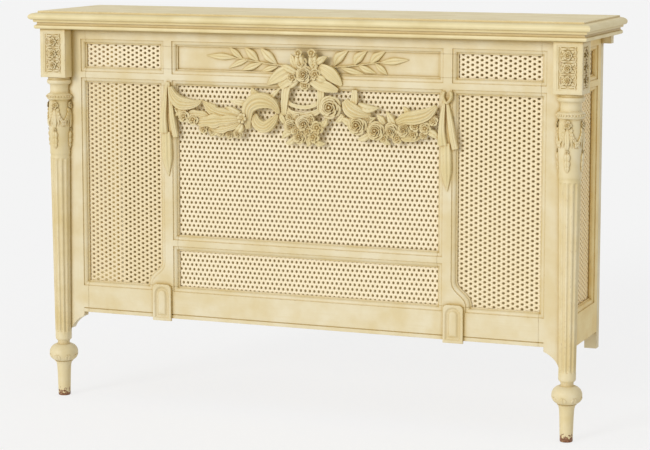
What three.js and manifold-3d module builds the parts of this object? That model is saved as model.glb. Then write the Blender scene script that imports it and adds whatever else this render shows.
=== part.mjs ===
// A painted wooden radiator cover. It stands in front of the radiator on two turned front legs, and
// its open back goes against the wall, where two let-in plates hook over screws. The front and the
// ends are framed panels of woven cane, dressed with carved laurel, roses and drapery.
//
// Millimetres, +Z up, the front towards -Y. The origin is on the floor, under the middle of the case.
import * as THREE from "three";
import { mergeVertices } from "three/addons/utils/BufferGeometryUtils.js";
import Module from "manifold-3d";

const wasm = await Module();
wasm.setup();

// ---------- Driving dimensions ----------

const overallHeight = 965; // floor to the top of the slab
const blockSpan = 1370; // across the outer faces of the two post blocks
const caseDepth = 323; // from the front faces of the blocks to the back of the case

const slabThickness = 28; // the moulded top board
const bedThickness = 16; // the board under it, whose edge is the bed moulding
const topNose = 22; // how far the slab's nosing stands out beyond the blocks
const topArris = 3.5; // how far its flat upper face reaches beyond the blocks
const bedLip = 11; // how far the bead of the bed moulding stands out

const blockSide = 68; // the square block at the head of each front post
const blockHeight = 119;
const shaftTopRadius = 25.5; // the fluted shaft, at its head and at its foot
const shaftFootRadius = 21.5;
const fluteCount = 12;
const fluteDepth = 2.4;
const headHeight = 201; // the turned head, from the flutes up to the block
const fluteFoot = 158; // height at which the flutes start
const ballRadius = 35.5;
const ballHeight = 110;
const footRadius = 15; // at the floor

const frameThickness = 22; // all framing is planed to this
const frontRecess = 37; // the front frame lies this far behind the faces of the blocks
const endRecess = 35; // the end frames lie this far inside the outer faces of the blocks
const frontRailFoot = 215; // lower edge of the front frame
const endRailFoot = 207; // lower edge of the end frames

const centreHalf = 346; // half the width of the middle bay
const pilasterWidth = 22; // between the middle bay and a side bay
const frontStileWidth = 57;
const openingFoot = 282; // lower edge of the tall openings and of the low middle one
const lowOpeningTop = 395;
const highOpeningFoot = 410;
const topRailWidth = 25; // from the top of the frieze to the top of the case
const friezeHeight = 80;
const midRailWidth = 15; // between the frieze and the tall openings
const endStile = 48; // width of the stiles of the end frames

const sticking = { drop: 2.5, flat: 3, round: 6.6, width: 12.6 }; // moulded edge of every opening
const panelDepth = 12.8; // from the face of a frame to the face of its panel
const rebateWidth = 6; // how far a panel reaches behind the framing
const friezePanelThickness = 7;

const caneThickness = 3;
const caneBorder = 13; // solid edge of a sheet of cane
const canePitch = 56; // from hole to hole of the weave
const caneHole = 16; // radius of a hole, to its corners

const bracketStep = 11; // height of the straight edge above each corner bracket
const bracketReach = 36; // how far a corner bracket spreads at its foot
const bracketDrop = 33; // how far it comes down along the leg
const flareTop = 352; // where the pilasters start to spread into their feet
const flareReach = 36; // how far they spread
const plinthFoot = 209; // the block on each pilaster foot
const plinthTop = 299;
const plinthIn = 5; // the block's inner side, from the edge of the middle bay
const plinthWidth = 49;
const plinthProud = 7;
const plinthBorder = 6;
const plinthGroove = 4;
const beadHeight = 9; // bead along the lower edge of the front frame
const beadGroove = 2;

const screwHollow = { half: 9, high: 6, deep: 8 }; // room for a screw's head behind a keyhole

const rearPostWidth = 30;
const rearPostThickness = 22.5;
const rearPostFoot = 165; // the rear posts stop above the skirting board
const battenHeight = 22; // the cross batten under the back of the top
const battenReach = 674; // half its length

const glueBlockLeg = 52;
const glueBlockHeight = 28;
const hangerLength = 46;
const hangerHeight = 16;
const hangerThickness = 2;
const hangerPlace = 420; // from the middle of the cabinet
const keyholeRadius = 5;
const slotRadius = 2.4;

const roseRadius = 20; // the carvings' places and sizes are multiples of it
const carvingRise = 24; // how far the roses stand out
const leafRise = 9;
const laurelStart = 52; // the laurel's stalk, from the middle of the frieze
const laurelTip = 218;
const laurelHeight = 29; // height of its stalk above the foot of the frieze
const laurelSlope = 0.13;
const pendantHalf = 2.9 * roseRadius; // where the pendant and the garlands meet
const pendantTop = 11; // the bouquet ends and the pendant starts, below the head of the openings
const garlandSag = 66;
const garlandPitch = 2.4 * roseRadius; // the most there is from rose to rose
const swatheDrop = 133; // how far the drapery's short tail hangs below the head of the openings
const tailDrop = 234; // and its long one
const clearance = 0.3; // between pieces that are fitted to each other

// ---------- Levels and planes that follow ----------

const bedTop = overallHeight - slabThickness;
const caseTop = bedTop - bedThickness; // top of the posts and frames
const yBlock = (topNose - caseDepth) / 2; // the faces of the blocks
const yFrame = yBlock + frontRecess;
const yFrameBack = yFrame + frameThickness;
const yBack = yBlock + caseDepth;
const yRearPost = yBack - rearPostThickness;
const frameHalf = blockSpan / 2 - endRecess; // outer faces of the end frames
const postAxis = { x: (blockSpan - blockSide) / 2, y: yBlock + blockSide / 2 };
const blockFoot = caseTop - blockHeight;
const fluteTop = blockFoot - headHeight;
const bracketFoot = frontRailFoot - bracketStep - bracketDrop;
const bayInner = centreHalf + pilasterWidth; // the side bays, from the middle of the cabinet
const bayOuter = frameHalf - frontStileWidth;
const friezeTop = caseTop - topRailWidth;
const friezeFoot = friezeTop - friezeHeight;
const openingTop = friezeFoot - midRailWidth;
const openingSill = openingFoot + sticking.width;
const shaftSides = fluteCount * 3;
const turnedSides = 20;
const roseSides = 8;

// ---------- Finishes ----------

const creamPaint = new THREE.MeshStandardMaterial({ color: 0xe6d6a8, roughness: 0.55 });
const paintedCane = new THREE.MeshStandardMaterial({ color: 0xeadcb0, roughness: 0.65 });
const carvedPaint = new THREE.MeshStandardMaterial({ color: 0xe0cd98, roughness: 0.6 });
const bareWood = new THREE.MeshStandardMaterial({ color: 0xb98f5a, roughness: 0.75 });
const zincSteel = new THREE.MeshStandardMaterial({ color: 0x9a9c9c, roughness: 0.4, metalness: 0.9 });

// ---------- Solids ----------

// A closed geometry as a solid that can be cut and joined.
function solidOf(geometry) {
  geometry.deleteAttribute("normal");
  geometry.deleteAttribute("uv");
  const merged = mergeVertices(geometry, 1e-4);
  return new wasm.Manifold(
    new wasm.Mesh({
      numProp: 3,
      vertProperties: merged.attributes.position.array,
      triVerts: new Uint32Array(merged.index.array),
    }),
  );
}

function meshOf(name, solid, material) {
  const { numProp, vertProperties, triVerts } = solid.getMesh();
  const geometry = new THREE.BufferGeometry();
  geometry.setAttribute("position", new THREE.BufferAttribute(vertProperties, numProp));
  geometry.setIndex(new THREE.BufferAttribute(triVerts, 1));
  geometry.computeVertexNormals();
  const mesh = new THREE.Mesh(geometry, material);
  mesh.name = name;
  return mesh;
}

const joined = (solids) => solids.reduce((whole, solid) => whole.add(solid));

// A skin over outlines of equal length, each an anticlockwise loop of [x, y] at its own height z.
function loft(levels) {
  const count = levels[0].outline.length;
  const positions = levels.flatMap(({ outline, z }) => outline.flatMap(([x, y]) => [x, y, z]));
  const faces = [];
  for (let start = 0; start < count * (levels.length - 1); start += count)
    for (let i = 0; i < count; i += 1) {
      const here = start + i;
      const next = start + ((i + 1) % count);
      faces.push(here, next, next + count, here, next + count, here + count);
    }
  const last = count * (levels.length - 1);
  const lids = (level) =>
    THREE.ShapeUtils.triangulateShape(
      level.outline.map(([x, y]) => new THREE.Vector2(x, y)),
      [],
    );
  for (const [a, b, c] of lids(levels[0])) faces.push(c, b, a);
  for (const [a, b, c] of lids(levels.at(-1))) faces.push(last + a, last + b, last + c);
  const geometry = new THREE.BufferGeometry();
  geometry.setAttribute("position", new THREE.Float32BufferAttribute(positions, 3));
  geometry.setIndex(faces);
  return solidOf(geometry);
}

const slice = (outline, low, high) =>
  loft([
    { outline, z: low },
    { outline, z: high },
  ]);

const rectangle = (x0, x1, y0, y1) => [
  [x0, y0],
  [x1, y0],
  [x1, y1],
  [x0, y1],
];

const box = (x0, x1, y0, y1, z0, z1) => slice(rectangle(x0, x1, y0, y1), z0, z1);

// The loop moved inwards by a distance, square to each of its edges.
function inset(outline, distance) {
  const count = outline.length;
  return outline.map(([x, y], i) => {
    const [px, py] = outline[(i + count - 1) % count];
    const [nx, ny] = outline[(i + 1) % count];
    const before = new THREE.Vector2(x - px, y - py).normalize();
    const after = new THREE.Vector2(nx - x, ny - y).normalize();
    const bisector = new THREE.Vector2(-before.y - after.y, before.x + after.x);
    const reach = distance / (1 + before.dot(after));
    return [x + bisector.x * reach, y + bisector.y * reach];
  });
}

// A double curve from one point to another that leaves and arrives along the given directions.
function ogee(from, to, leave, arrive, steps) {
  const curve = new THREE.CubicBezierCurve(
    new THREE.Vector2(...from),
    new THREE.Vector2(from[0] + leave[0], from[1] + leave[1]),
    new THREE.Vector2(to[0] - arrive[0], to[1] - arrive[1]),
    new THREE.Vector2(...to),
  );
  return curve.getPoints(steps).map((point) => [point.x, point.y]);
}

// The same outline seen in a mirror that stands upright on x = 0, still anticlockwise.
const mirrored = (outline) => outline.map(([x, y]) => [-x, y]).reverse();
const sided = (outline, side) => (side > 0 ? outline : mirrored(outline));

// A solid turned about the z axis from [radius, height] points, from the lowest to the highest.
function turned(profile, sides) {
  const closed = [[0, profile[0][1]], ...profile, [0, profile.at(-1)[1]]];
  const points = closed.map(([radius, height]) => new THREE.Vector2(radius, height));
  return solidOf(new THREE.LatheGeometry(points, sides)).rotate([90, 0, 0]);
}

// ---------- Framing, drawn in elevation: x across, y up, z out of the face ----------

// What a moulded opening takes out of a board whose face is at z = 0: the stepped and rounded edge,
// the opening itself, and behind it the rebate for the panel.
function openingCutter(outline) {
  const { drop, flat, round, width } = sticking;
  const turns = 3;
  const edge = [
    [0, 1],
    [0, -drop],
    [flat, -drop],
  ];
  for (let i = 1; i <= turns; i += 1) {
    const angle = (i / turns) * (Math.PI / 2);
    edge.push([flat + round * Math.sin(angle), -drop - round * (1 - Math.cos(angle))]);
  }
  edge.push([width, -drop - round], [width, -frameThickness - 1]);
  const front = loft(edge.reverse().map(([distance, z]) => ({ outline: inset(outline, distance), z })));
  const rebate = slice(inset(outline, width - rebateWidth), -frameThickness - 1, -panelDepth);
  return front.add(rebate);
}

// The part of a cut board that lies in a rectangle, as one member of the frame.
function member(board, x0, x1, y0, y1) {
  const [left, right] = [Math.min(x0, x1), Math.max(x0, x1)];
  return board.intersect(box(left, right, y0, y1, -frameThickness - 2, 2));
}

// The outline of a panel that lies in an opening's rebate.
const panelOutline = (outline) => inset(outline, sticking.width - rebateWidth + clearance);

// A sheet of cane in an opening: rows of six-sided holes, every other row moved on by half a pitch.
// The rows run up the sheet, or across it where `across` is true.
function caneSheet(outline, across) {
  const loop = panelOutline(outline);
  const xs = loop.map(([x]) => x);
  const ys = loop.map(([, y]) => y);
  const centre = [(Math.min(...xs) + Math.max(...xs)) / 2, (Math.min(...ys) + Math.max(...ys)) / 2];
  const reach = [Math.max(...xs) - centre[0], Math.max(...ys) - centre[1]];
  const [rowReach, lineReach] = across ? [reach[1], reach[0]] : reach;
  const rows = Math.floor((2 * (rowReach - caneBorder - caneHole)) / canePitch) + 1;
  const field = new THREE.Shape(inset(loop, caneBorder + caneHole).map((p) => new THREE.Vector2(...p)));
  const sheet = new THREE.Shape(loop.map((p) => new THREE.Vector2(...p)));
  for (let row = 0; row < rows; row += 1) {
    const beside = (row - (rows - 1) / 2) * canePitch;
    const first = Math.floor(-lineReach / canePitch) * canePitch + (row % 2 === 0 ? 0 : canePitch / 2);
    for (let along = first; along <= lineReach; along += canePitch) {
      const [x, y] = across ? [along, beside] : [beside, along];
      const hole = new THREE.Vector2(centre[0] + x, centre[1] + y);
      if (!within(hole, field)) continue;
      const path = new THREE.Path();
      for (let corner = 0; corner < 6; corner += 1) {
        const angle = (corner / 6) * Math.PI * 2 + (across ? Math.PI / 6 : 0);
        const at = [hole.x + caneHole * Math.cos(angle), hole.y + caneHole * Math.sin(angle)];
        if (corner === 0) path.moveTo(...at);
        else path.lineTo(...at);
      }
      path.closePath();
      sheet.holes.push(path);
    }
  }
  const geometry = new THREE.ExtrudeGeometry(sheet, { depth: caneThickness, bevelEnabled: false });
  return solidOf(geometry).translate([0, 0, -panelDepth - clearance - caneThickness]);
}

// Whether a point lies inside a shape without holes.
function within(point, shape) {
  const loop = shape.getPoints();
  let inside = false;
  for (let i = 0, j = loop.length - 1; i < loop.length; j = i, i += 1) {
    const crosses = loop[i].y > point.y !== loop[j].y > point.y;
    const slope = (loop[j].x - loop[i].x) / (loop[j].y - loop[i].y);
    if (crosses && point.x < loop[i].x + slope * (point.y - loop[i].y)) inside = !inside;
  }
  return inside;
}

// ---------- Front frame ----------

// The side bay narrows at its foot, where the pilaster spreads.
function bayOutline() {
  const flare = ogee(
    [bayInner + flareReach, plinthTop],
    [bayInner, flareTop],
    [0, 20],
    [0, 26],
    6,
  );
  return [
    [bayInner + flareReach, openingFoot],
    [bayOuter, openingFoot],
    [bayOuter, openingTop],
    [bayInner, openingTop],
    ...flare.reverse(),
  ];
}

function frontBoard() {
  const bracket = ogee(
    [bayOuter + bracketReach, bracketFoot],
    [bayOuter, frontRailFoot - bracketStep],
    [-4, 14],
    [-14, 4],
    6,
  );
  const half = [
    [0, frontRailFoot],
    [bayOuter, frontRailFoot],
    ...bracket.reverse(),
    [frameHalf, bracketFoot],
    [frameHalf, caseTop],
  ];
  return slice([...half, ...mirrored(half.slice(1))], -frameThickness, 0);
}

const frontOpenings = {
  frieze_middle: rectangle(-centreHalf, centreHalf, friezeFoot, friezeTop),
  middle_high: rectangle(-centreHalf, centreHalf, highOpeningFoot, openingTop),
  middle_low: rectangle(-centreHalf, centreHalf, openingFoot, lowOpeningTop),
};
for (const [name, side] of [
  ["left", -1],
  ["right", 1],
]) {
  frontOpenings[`frieze_${name}`] = sided(rectangle(bayInner, bayOuter, friezeFoot, friezeTop), side);
  frontOpenings[`bay_${name}`] = sided(bayOutline(), side);
}

function frontFrame() {
  const cutters = Object.values(frontOpenings).map(openingCutter);
  const groove = box(
    -bayOuter,
    bayOuter,
    frontRailFoot + beadHeight,
    frontRailFoot + beadHeight + beadGroove,
    -beadGroove,
    1,
  );
  const board = frontBoard().subtract(joined([...cutters, groove]));
  const stileEdge = bayOuter - sticking.width;
  const pilasterInner = centreHalf - sticking.width;
  const pilasterOuter = (bayInner + bayOuter) / 2;
  const railLow = openingTop - sticking.width;
  const railHigh = friezeFoot + sticking.width;
  const topRailLow = friezeTop - sticking.width;
  const members = {
    top_rail: member(board, -stileEdge, stileEdge, topRailLow, caseTop),
    mid_rail: member(board, -stileEdge, stileEdge, railLow, railHigh),
    bottom_rail: member(board, -stileEdge, stileEdge, frontRailFoot, openingSill),
    middle_rail: member(
      board,
      -pilasterInner,
      pilasterInner,
      lowOpeningTop - sticking.width,
      highOpeningFoot + sticking.width,
    ),
  };
  for (const [name, side] of [
    ["left", -1],
    ["right", 1],
  ]) {
    const edge = side * stileEdge;
    const inner = side * pilasterInner;
    const outer = side * pilasterOuter;
    members[`front_stile_${name}`] = member(board, edge, side * frameHalf, bracketFoot, caseTop);
    members[`pilaster_${name}`] = member(board, inner, outer, openingSill, railLow);
    members[`frieze_muntin_${name}`] = member(board, inner, outer, railHigh, topRailLow);
  }
  return members;
}

// The raised block on the foot of a pilaster, with an arched channel round a raised tongue.
function plinth(side) {
  const inner = centreHalf + plinthIn;
  const outer = inner + plinthWidth;
  const arch = (margin) => {
    const radius = plinthWidth / 2 - margin;
    const middle = (inner + outer) / 2;
    const spring = plinthTop - margin - radius;
    const crown = Array.from({ length: 9 }, (_, i) => {
      const angle = (i / 8) * Math.PI;
      return [middle + radius * Math.cos(angle), spring + radius * Math.sin(angle)];
    });
    const foot = plinthFoot + margin;
    return sided([[middle - radius, foot], [middle + radius, foot], ...crown], side);
  };
  const block = slice(sided(rectangle(inner, outer, plinthFoot, plinthTop), side), 0, plinthProud);
  const channel = slice(arch(plinthBorder), plinthProud - plinthGroove, plinthProud + 1).subtract(
    slice(arch(plinthBorder + plinthGroove), 0, plinthProud + 2),
  );
  return block.subtract(channel);
}

// ---------- End frames ----------

// Across an end frame, x is the distance behind the blocks' faces, and negative on the left end.
function endFrame(side) {
  const front = frontRecess + frameThickness;
  const back = caseDepth - rearPostThickness;
  const openings = {
    cane: sided(rectangle(front + endStile, caseDepth - endStile, openingFoot, openingTop), side),
    frieze: sided(rectangle(front + endStile, caseDepth - endStile, friezeFoot, friezeTop), side),
  };
  const board = slice(sided(rectangle(front, back, endRailFoot, caseTop), side), -frameThickness, 0).subtract(
    joined(Object.values(openings).map(openingCutter)),
  );
  const inner = side * (front + endStile + sticking.width);
  const outer = side * (caseDepth - endStile - sticking.width);
  const members = {
    front_stile: member(board, side * front, inner, endRailFoot, caseTop),
    rear_stile: member(board, outer, side * back, endRailFoot, caseTop),
    bottom_rail: member(board, inner, outer, endRailFoot, openingSill),
    mid_rail: member(board, inner, outer, openingTop - sticking.width, friezeFoot + sticking.width),
    top_rail: member(board, inner, outer, friezeTop - sticking.width, caseTop),
  };
  return { members, openings };
}

// ---------- Front posts ----------

// A fluted stretch of the shaft: each flute takes one of three points round the section.
function flutedShaft() {
  const section = (height, depth) => {
    const share = (height - fluteFoot) / (fluteTop - fluteFoot);
    const radius = THREE.MathUtils.lerp(shaftFootRadius, shaftTopRadius, share);
    return Array.from({ length: shaftSides }, (_, i) => {
      const angle = (i / shaftSides) * Math.PI * 2;
      const reach = radius - (i % 3 === 0 ? depth : 0);
      return [reach * Math.cos(angle), reach * Math.sin(angle)];
    });
  };
  const runOut = 8;
  return loft(
    [
      [fluteFoot - 1, 0],
      [fluteFoot, 0],
      [fluteFoot + runOut, fluteDepth],
      [fluteTop - runOut, fluteDepth],
      [fluteTop, 0],
      [fluteTop + 1, 0],
    ].map(([height, depth]) => ({ outline: section(height, depth), z: height })),
  );
}

function frontPost(side) {
  const foot = [
    [footRadius, 0],
    [footRadius + 0.8, 6],
    [footRadius + 3.2, ballHeight - ballRadius + 3],
    [footRadius + 6, ballHeight - ballRadius + 6],
    [footRadius + 6, ballHeight - ballRadius + 10],
    [footRadius + 4, ballHeight - ballRadius + 12],
  ];
  const ball = [-50, -26, 0, 26, 50].map((degrees) => {
    const angle = THREE.MathUtils.degToRad(degrees);
    return [ballRadius * Math.cos(angle), ballHeight + (ballRadius * Math.sin(angle)) / 1.25];
  });
  const neck = [
    [shaftFootRadius - 4.5, fluteFoot - 20],
    [shaftFootRadius - 4, fluteFoot - 13],
    [shaftFootRadius + 1, fluteFoot - 10],
    [shaftFootRadius + 1, fluteFoot - 5],
    [shaftFootRadius, fluteFoot],
  ];
  const bulbRadius = shaftTopRadius + 3;
  const bulb = [
    [shaftTopRadius, fluteTop],
    [shaftTopRadius + 0.5, fluteTop + headHeight * 0.17],
    [bulbRadius - 1, fluteTop + headHeight * 0.3],
    [bulbRadius, fluteTop + headHeight * 0.47],
    [bulbRadius - 0.5, fluteTop + headHeight * 0.62],
    [bulbRadius - 3, fluteTop + headHeight * 0.72],
  ];
  const ringRadius = shaftTopRadius + 6;
  const neckRadius = shaftTopRadius - 1.5;
  const capital = [
    [ringRadius - 1, 0.73],
    [ringRadius + 1, 0.745],
    [ringRadius + 1, 0.775],
    [ringRadius - 1, 0.79],
    [neckRadius, 0.8],
    [neckRadius, 0.9],
    [ringRadius - 2, 0.91],
    [ringRadius, 0.925],
    [ringRadius, 0.955],
    [ringRadius - 2, 0.97],
    [ringRadius - 3, 1.005],
  ].map(([radius, share]) => [radius, fluteTop + headHeight * share]);
  const legs = turned([...foot, ...ball, ...neck], turnedSides);
  const head = turned([...bulb, ...capital], turnedSides);
  const half = blockSide / 2;
  const square = rectangle(-half, half, -half, half);
  const chamfer = 1.5;
  const block = loft([
    { outline: inset(square, chamfer), z: blockFoot },
    { outline: square, z: blockFoot + chamfer },
    { outline: square, z: caseTop },
  ]);
  const border = 10;
  const sunk = 2.5;
  const tablet = [blockFoot + border, caseTop - border];
  const sinkings = [
    box(-half + border, half - border, -half - 1, -half + sunk, ...tablet),
    box(side * half - sunk, side * half + sunk, -half + border, half - border - 3, ...tablet),
  ];
  // The corner where the front frame and the end frame meet is housed in the inner rear quarter.
  const housing = box(
    Math.min(-side * blockSide, side * (frameHalf + clearance - postAxis.x)),
    Math.max(-side * blockSide, side * (frameHalf + clearance - postAxis.x)),
    yFrame - clearance - postAxis.y,
    blockSide,
    bracketFoot - clearance,
    caseTop + 1,
  );
  return joined([legs, flutedShaft(), head, block])
    .subtract(joined([...sinkings, housing]))
    .translate([side * postAxis.x, postAxis.y, 0]);
}

// ---------- Top, back and fixings ----------

// A board under or over the case whose front and ends carry the moulding and whose back is square.
const mouldedBoard = (profile) =>
  loft(
    profile.map(([reach, z]) => ({
      outline: rectangle(-blockSpan / 2 - reach, blockSpan / 2 + reach, yBlock - reach, yBack),
      z,
    })),
  );

const topSlab = () =>
  mouldedBoard([
    [topNose - 15, bedTop],
    [topNose - 10, bedTop + 3],
    [topNose - 10, bedTop + 6],
    [topNose - 4.5, bedTop + 7],
    [topNose - 1, bedTop + 10],
    [topNose, bedTop + 13.5],
    [topNose - 1.5, bedTop + 17.5],
    [topNose - 5.5, bedTop + 21],
    [topNose - 11, bedTop + 23],
    [topArris, bedTop + 24],
    [topArris, overallHeight],
  ]);

const bedBoard = () =>
  mouldedBoard([
    [bedLip - 7, caseTop],
    [bedLip - 2, caseTop + 1.5],
    [bedLip, caseTop + 4],
    [bedLip, caseTop + 8],
    [bedLip - 3, caseTop + 10.5],
    [bedLip - 6, caseTop + 12],
    [bedLip - 6, bedTop],
  ]);

const hangerPlaces = [-hangerPlace, hangerPlace];

function batten() {
  const hollow = (x) => {
    const z = caseTop - battenHeight / 2;
    const [long, high] = [hangerLength / 2 + clearance, hangerHeight / 2 + clearance];
    return joined([
      box(x - long, x + long, yBack - hangerThickness - clearance, yBack + 1, z - high, z + high),
      box(
        x - screwHollow.half,
        x + screwHollow.half,
        yBack - hangerThickness - screwHollow.deep,
        yBack,
        z - screwHollow.high,
        z + screwHollow.high,
      ),
    ]);
  };
  const bar = box(-battenReach, battenReach, yRearPost, yBack, caseTop - battenHeight, caseTop);
  return bar.subtract(joined(hangerPlaces.map(hollow)));
}

// A steel plate with a keyhole: a screw's head goes in at the round end and slides to the slot.
function hangerPlate(x) {
  const z = caseTop - battenHeight / 2;
  const [long, high] = [hangerLength / 2, hangerHeight / 2];
  const plate = box(x - long, x + long, yBack - hangerThickness, yBack, z - high, z + high);
  const round = turned(
    [
      [keyholeRadius, 0],
      [keyholeRadius, 2 * hangerThickness],
    ],
    16,
  ).rotate([90, 0, 0]);
  const slot = box(x - slotRadius, x + slotRadius, yBack - 2 * hangerThickness, yBack + 1, z, z + 6);
  return plate.subtract(round.translate([x, yBack + 1, z - 1.5]).add(slot));
}

const rearPost = (side) =>
  box(
    Math.min(side * frameHalf, side * (frameHalf - rearPostWidth)),
    Math.max(side * frameHalf, side * (frameHalf - rearPostWidth)),
    yRearPost,
    yBack,
    rearPostFoot,
    caseTop - battenHeight,
  );

// A three-cornered block glued under the top where an end frame meets the front or the batten.
function glueBlock(side, front) {
  const corner = [side * (frameHalf - frameThickness), front ? yFrameBack : yRearPost];
  const inward = front ? glueBlockLeg : -glueBlockLeg;
  const loop = [
    corner,
    [corner[0] - side * glueBlockLeg, corner[1]],
    [corner[0], corner[1] + inward],
  ];
  const anticlockwise = THREE.ShapeUtils.area(loop.map((p) => new THREE.Vector2(...p))) > 0;
  return slice(anticlockwise ? loop : loop.reverse(), caseTop - glueBlockHeight, caseTop);
}

// ---------- Carvings, drawn in elevation on the front frame's face ----------

const carvingSplit = openingTop - pendantTop;
const garlandOuter = centreHalf - clearance; // where a garland meets the drapery

// Places on the face, given in rose radii from the middle and from the head of the openings.
const placed = (points) =>
  points.map(([x, rise, ...rest]) => [x * roseRadius, openingTop + rise * roseRadius, ...rest]);

// A pointed leaf with a raised midrib, from its stalk along an angle in degrees. Its length and
// width are in rose radii.
function leaf(x, y, degrees, long, wide, back = clearance) {
  const [length, width] = [long * roseRadius, wide * roseRadius];
  const lens = [0, 0.3, 0.65, 1];
  const swell = [0.2, 0.95, 0.85, 0.05];
  const lower = lens.map((share, i) => [share * length, (-swell[i] * width) / 2]);
  const upper = lens.map((share, i) => [share * length, (swell[i] * width) / 2]).reverse();
  const outline = [...lower, ...upper];
  const ridge = outline.map(([along, off]) => [length * 0.08 + along * 0.86, off * 0.25]);
  return loft([
    { outline, z: 0 },
    { outline: ridge, z: leafRise },
  ])
    .rotate([0, 0, degrees])
    .translate([x, y, back]);
}

// An open rose, domed, with a dimple at its heart. Its size is a multiple of the usual one.
function rose(x, y, size, rise = carvingRise) {
  const radius = size * roseRadius;
  const petals = [
    [radius, 0],
    [radius * 0.94, rise * 0.55],
    [radius * 0.55, rise],
    [radius * 0.2, rise * 0.84],
  ];
  return turned(petals, roseSides).translate([x, y, clearance]);
}

// A round-sectioned stem through points on the face.
function stem(points, radius, back = clearance) {
  const route = points.map(([x, y]) => new THREE.Vector3(x, y, radius));
  const path = new THREE.CatmullRomCurve3(route);
  const section = new THREE.Shape();
  section.absarc(0, 0, radius, 0, Math.PI * 2);
  const geometry = new THREE.ExtrudeGeometry(section, { steps: 8, curveSegments: 3, extrudePath: path });
  return solidOf(geometry).translate([0, 0, back]);
}

// Half of the laurel on the frieze panel: a stem with leaves in pairs and one at its tip.
function laurel(side) {
  const back = -panelDepth + clearance;
  const rise = (x) => friezeFoot + laurelHeight + (x - laurelStart) * laurelSlope;
  const along = (share) => THREE.MathUtils.lerp(laurelStart, laurelTip, share);
  const parts = [
    stem(
      [0, 0.5, 1].map((share) => [side * along(share), rise(along(share))]),
      roseRadius * 0.2,
      back,
    ),
  ];
  const sprig = (x, angle, length) =>
    leaf(side * x, rise(x), side > 0 ? angle : 180 - angle, length, 0.75, back);
  for (const share of [0.16, 0.42, 0.69]) {
    parts.push(sprig(along(share), 24, 2.3));
    parts.push(sprig(along(share + 0.1), -18, 2.2));
  }
  parts.push(sprig(along(0.95), 6, 2.5));
  return joined(parts);
}

// The knot of roses and ribbon on the middle of the rail, with two buds standing up from it.
function bouquet() {
  const roses = placed([
    [-1.6, 1.25, 1],
    [0.15, 2.05, 1.15],
    [1.8, 1.35, 1],
    [-0.8, 0.05, 1],
    [1, 0.05, 1],
  ]).map((place) => rose(...place));
  const buds = [-0.6, 1.15].flatMap((x) => {
    const stalk = placed([
      [x * 0.4, 2.35],
      [x * 0.8, 3.05],
      [x, 3.9],
    ]);
    return [rose(...stalk.at(-1), 0.45, carvingRise * 0.6), stem(stalk, roseRadius * 0.2)];
  });
  const ribbons = placed([
    [-1.7, 1.25, 194, 2.8, 1.2],
    [-1.1, 0.15, 192, 2.7, 1],
    [1.8, 1.25, -14, 2.9, 1.2],
    [1.2, 0.15, -12, 2.7, 1],
    [-0.2, 2.25, 152, 2.6, 0.9],
    [0.5, 2.35, 28, 2.6, 0.9],
  ]).map((place) => leaf(...place));
  const above = box(-centreHalf, centreHalf, carvingSplit, caseTop, 0, 2 * carvingRise);
  return joined([...roses, ...buds, ...ribbons]).intersect(above);
}

// The cluster of roses that hangs under the rail and takes the inner ends of both garlands.
function pendant() {
  const roses = placed([
    [0, -3.15, 1.2],
    [-1.6, -4.45, 1.1],
    [1.6, -4.45, 1.1],
    [0, -5.15, 1.25],
    [0, -6.15, 0.9],
    [-2.2, -2.75, 1.1],
    [2.2, -2.75, 1.1],
  ]).map((place) => rose(...place));
  const straps = [-1, 1].map((side) =>
    stem(
      placed([
        [side * 0.9, -0.15],
        [side * 1.5, -1.65],
        [side * 1.8, -2.65],
      ]),
      roseRadius * 0.3,
    ),
  );
  const edge = pendantHalf - clearance;
  const below = box(-edge, edge, bracketFoot, carvingSplit - clearance, 0, 2 * carvingRise);
  return joined([...roses, ...straps]).intersect(below);
}

// A swag of roses and leaves that sags between the pilaster and the pendant.
function garland(side) {
  const parts = [];
  const last = Math.ceil((garlandOuter - pendantHalf) / garlandPitch);
  for (let i = 0; i <= last; i += 1) {
    const share = i / last;
    const x = THREE.MathUtils.lerp(garlandOuter - 0.3 * roseRadius, pendantHalf + 0.6 * roseRadius, share);
    const sag = Math.sin(share * Math.PI);
    const y = openingTop - THREE.MathUtils.lerp(1.45, 2.25, share) * roseRadius - garlandSag * sag;
    parts.push(rose(side * x, y, 1.25 + 0.25 * sag));
    const lean = 90 * (share - 0.5);
    if (i % 2 === 0) continue;
    for (const angle of [-90 + lean, 90 + lean])
      parts.push(leaf(side * x, y, side > 0 ? angle : 180 - angle, 2.3, 1.1));
  }
  const reach = box(
    Math.min(side * pendantHalf, side * garlandOuter),
    Math.max(side * pendantHalf, side * garlandOuter),
    highOpeningFoot,
    openingTop + roseRadius,
    clearance,
    carvingRise * 2,
  );
  return joined(parts).intersect(reach);
}

// Drapery knotted at the head of a pilaster, with a short tail over a longer pointed one.
function drapery(side) {
  const middle = centreHalf + pilasterWidth / 2;
  const half = pilasterWidth / 2;
  const hem = openingTop - swatheDrop;
  const point = openingTop - tailDrop;
  const fold = (share, points) =>
    sided(
      points.map(([off, y]) => [middle + off * half * share, y]),
      side,
    );
  const between = (share) => THREE.MathUtils.lerp(point, hem, share);
  const tail = [
    [-0.18, point],
    [0.09, point],
    [0.55, between(0.45)],
    [0.73, between(0.73)],
    [0.64, between(1.2)],
    [-0.64, between(1.2)],
    [-0.73, between(0.67)],
    [-0.45, between(0.38)],
  ];
  const swathe = [
    [-1, hem],
    [-0.36, hem + 8],
    [0.27, hem + 2],
    [1, hem + 10],
    [0.9, hem + 72],
    [0.64, openingTop - 6],
    [-1, openingTop - 6],
  ];
  return joined(
    [
      [tail, 8],
      [swathe, 13],
    ].map(([points, rise]) =>
      loft([
        { outline: fold(1, points), z: clearance },
        { outline: fold(0.45, points), z: rise },
      ]),
    ),
  );
}

// ---------- Assembly ----------

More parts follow.
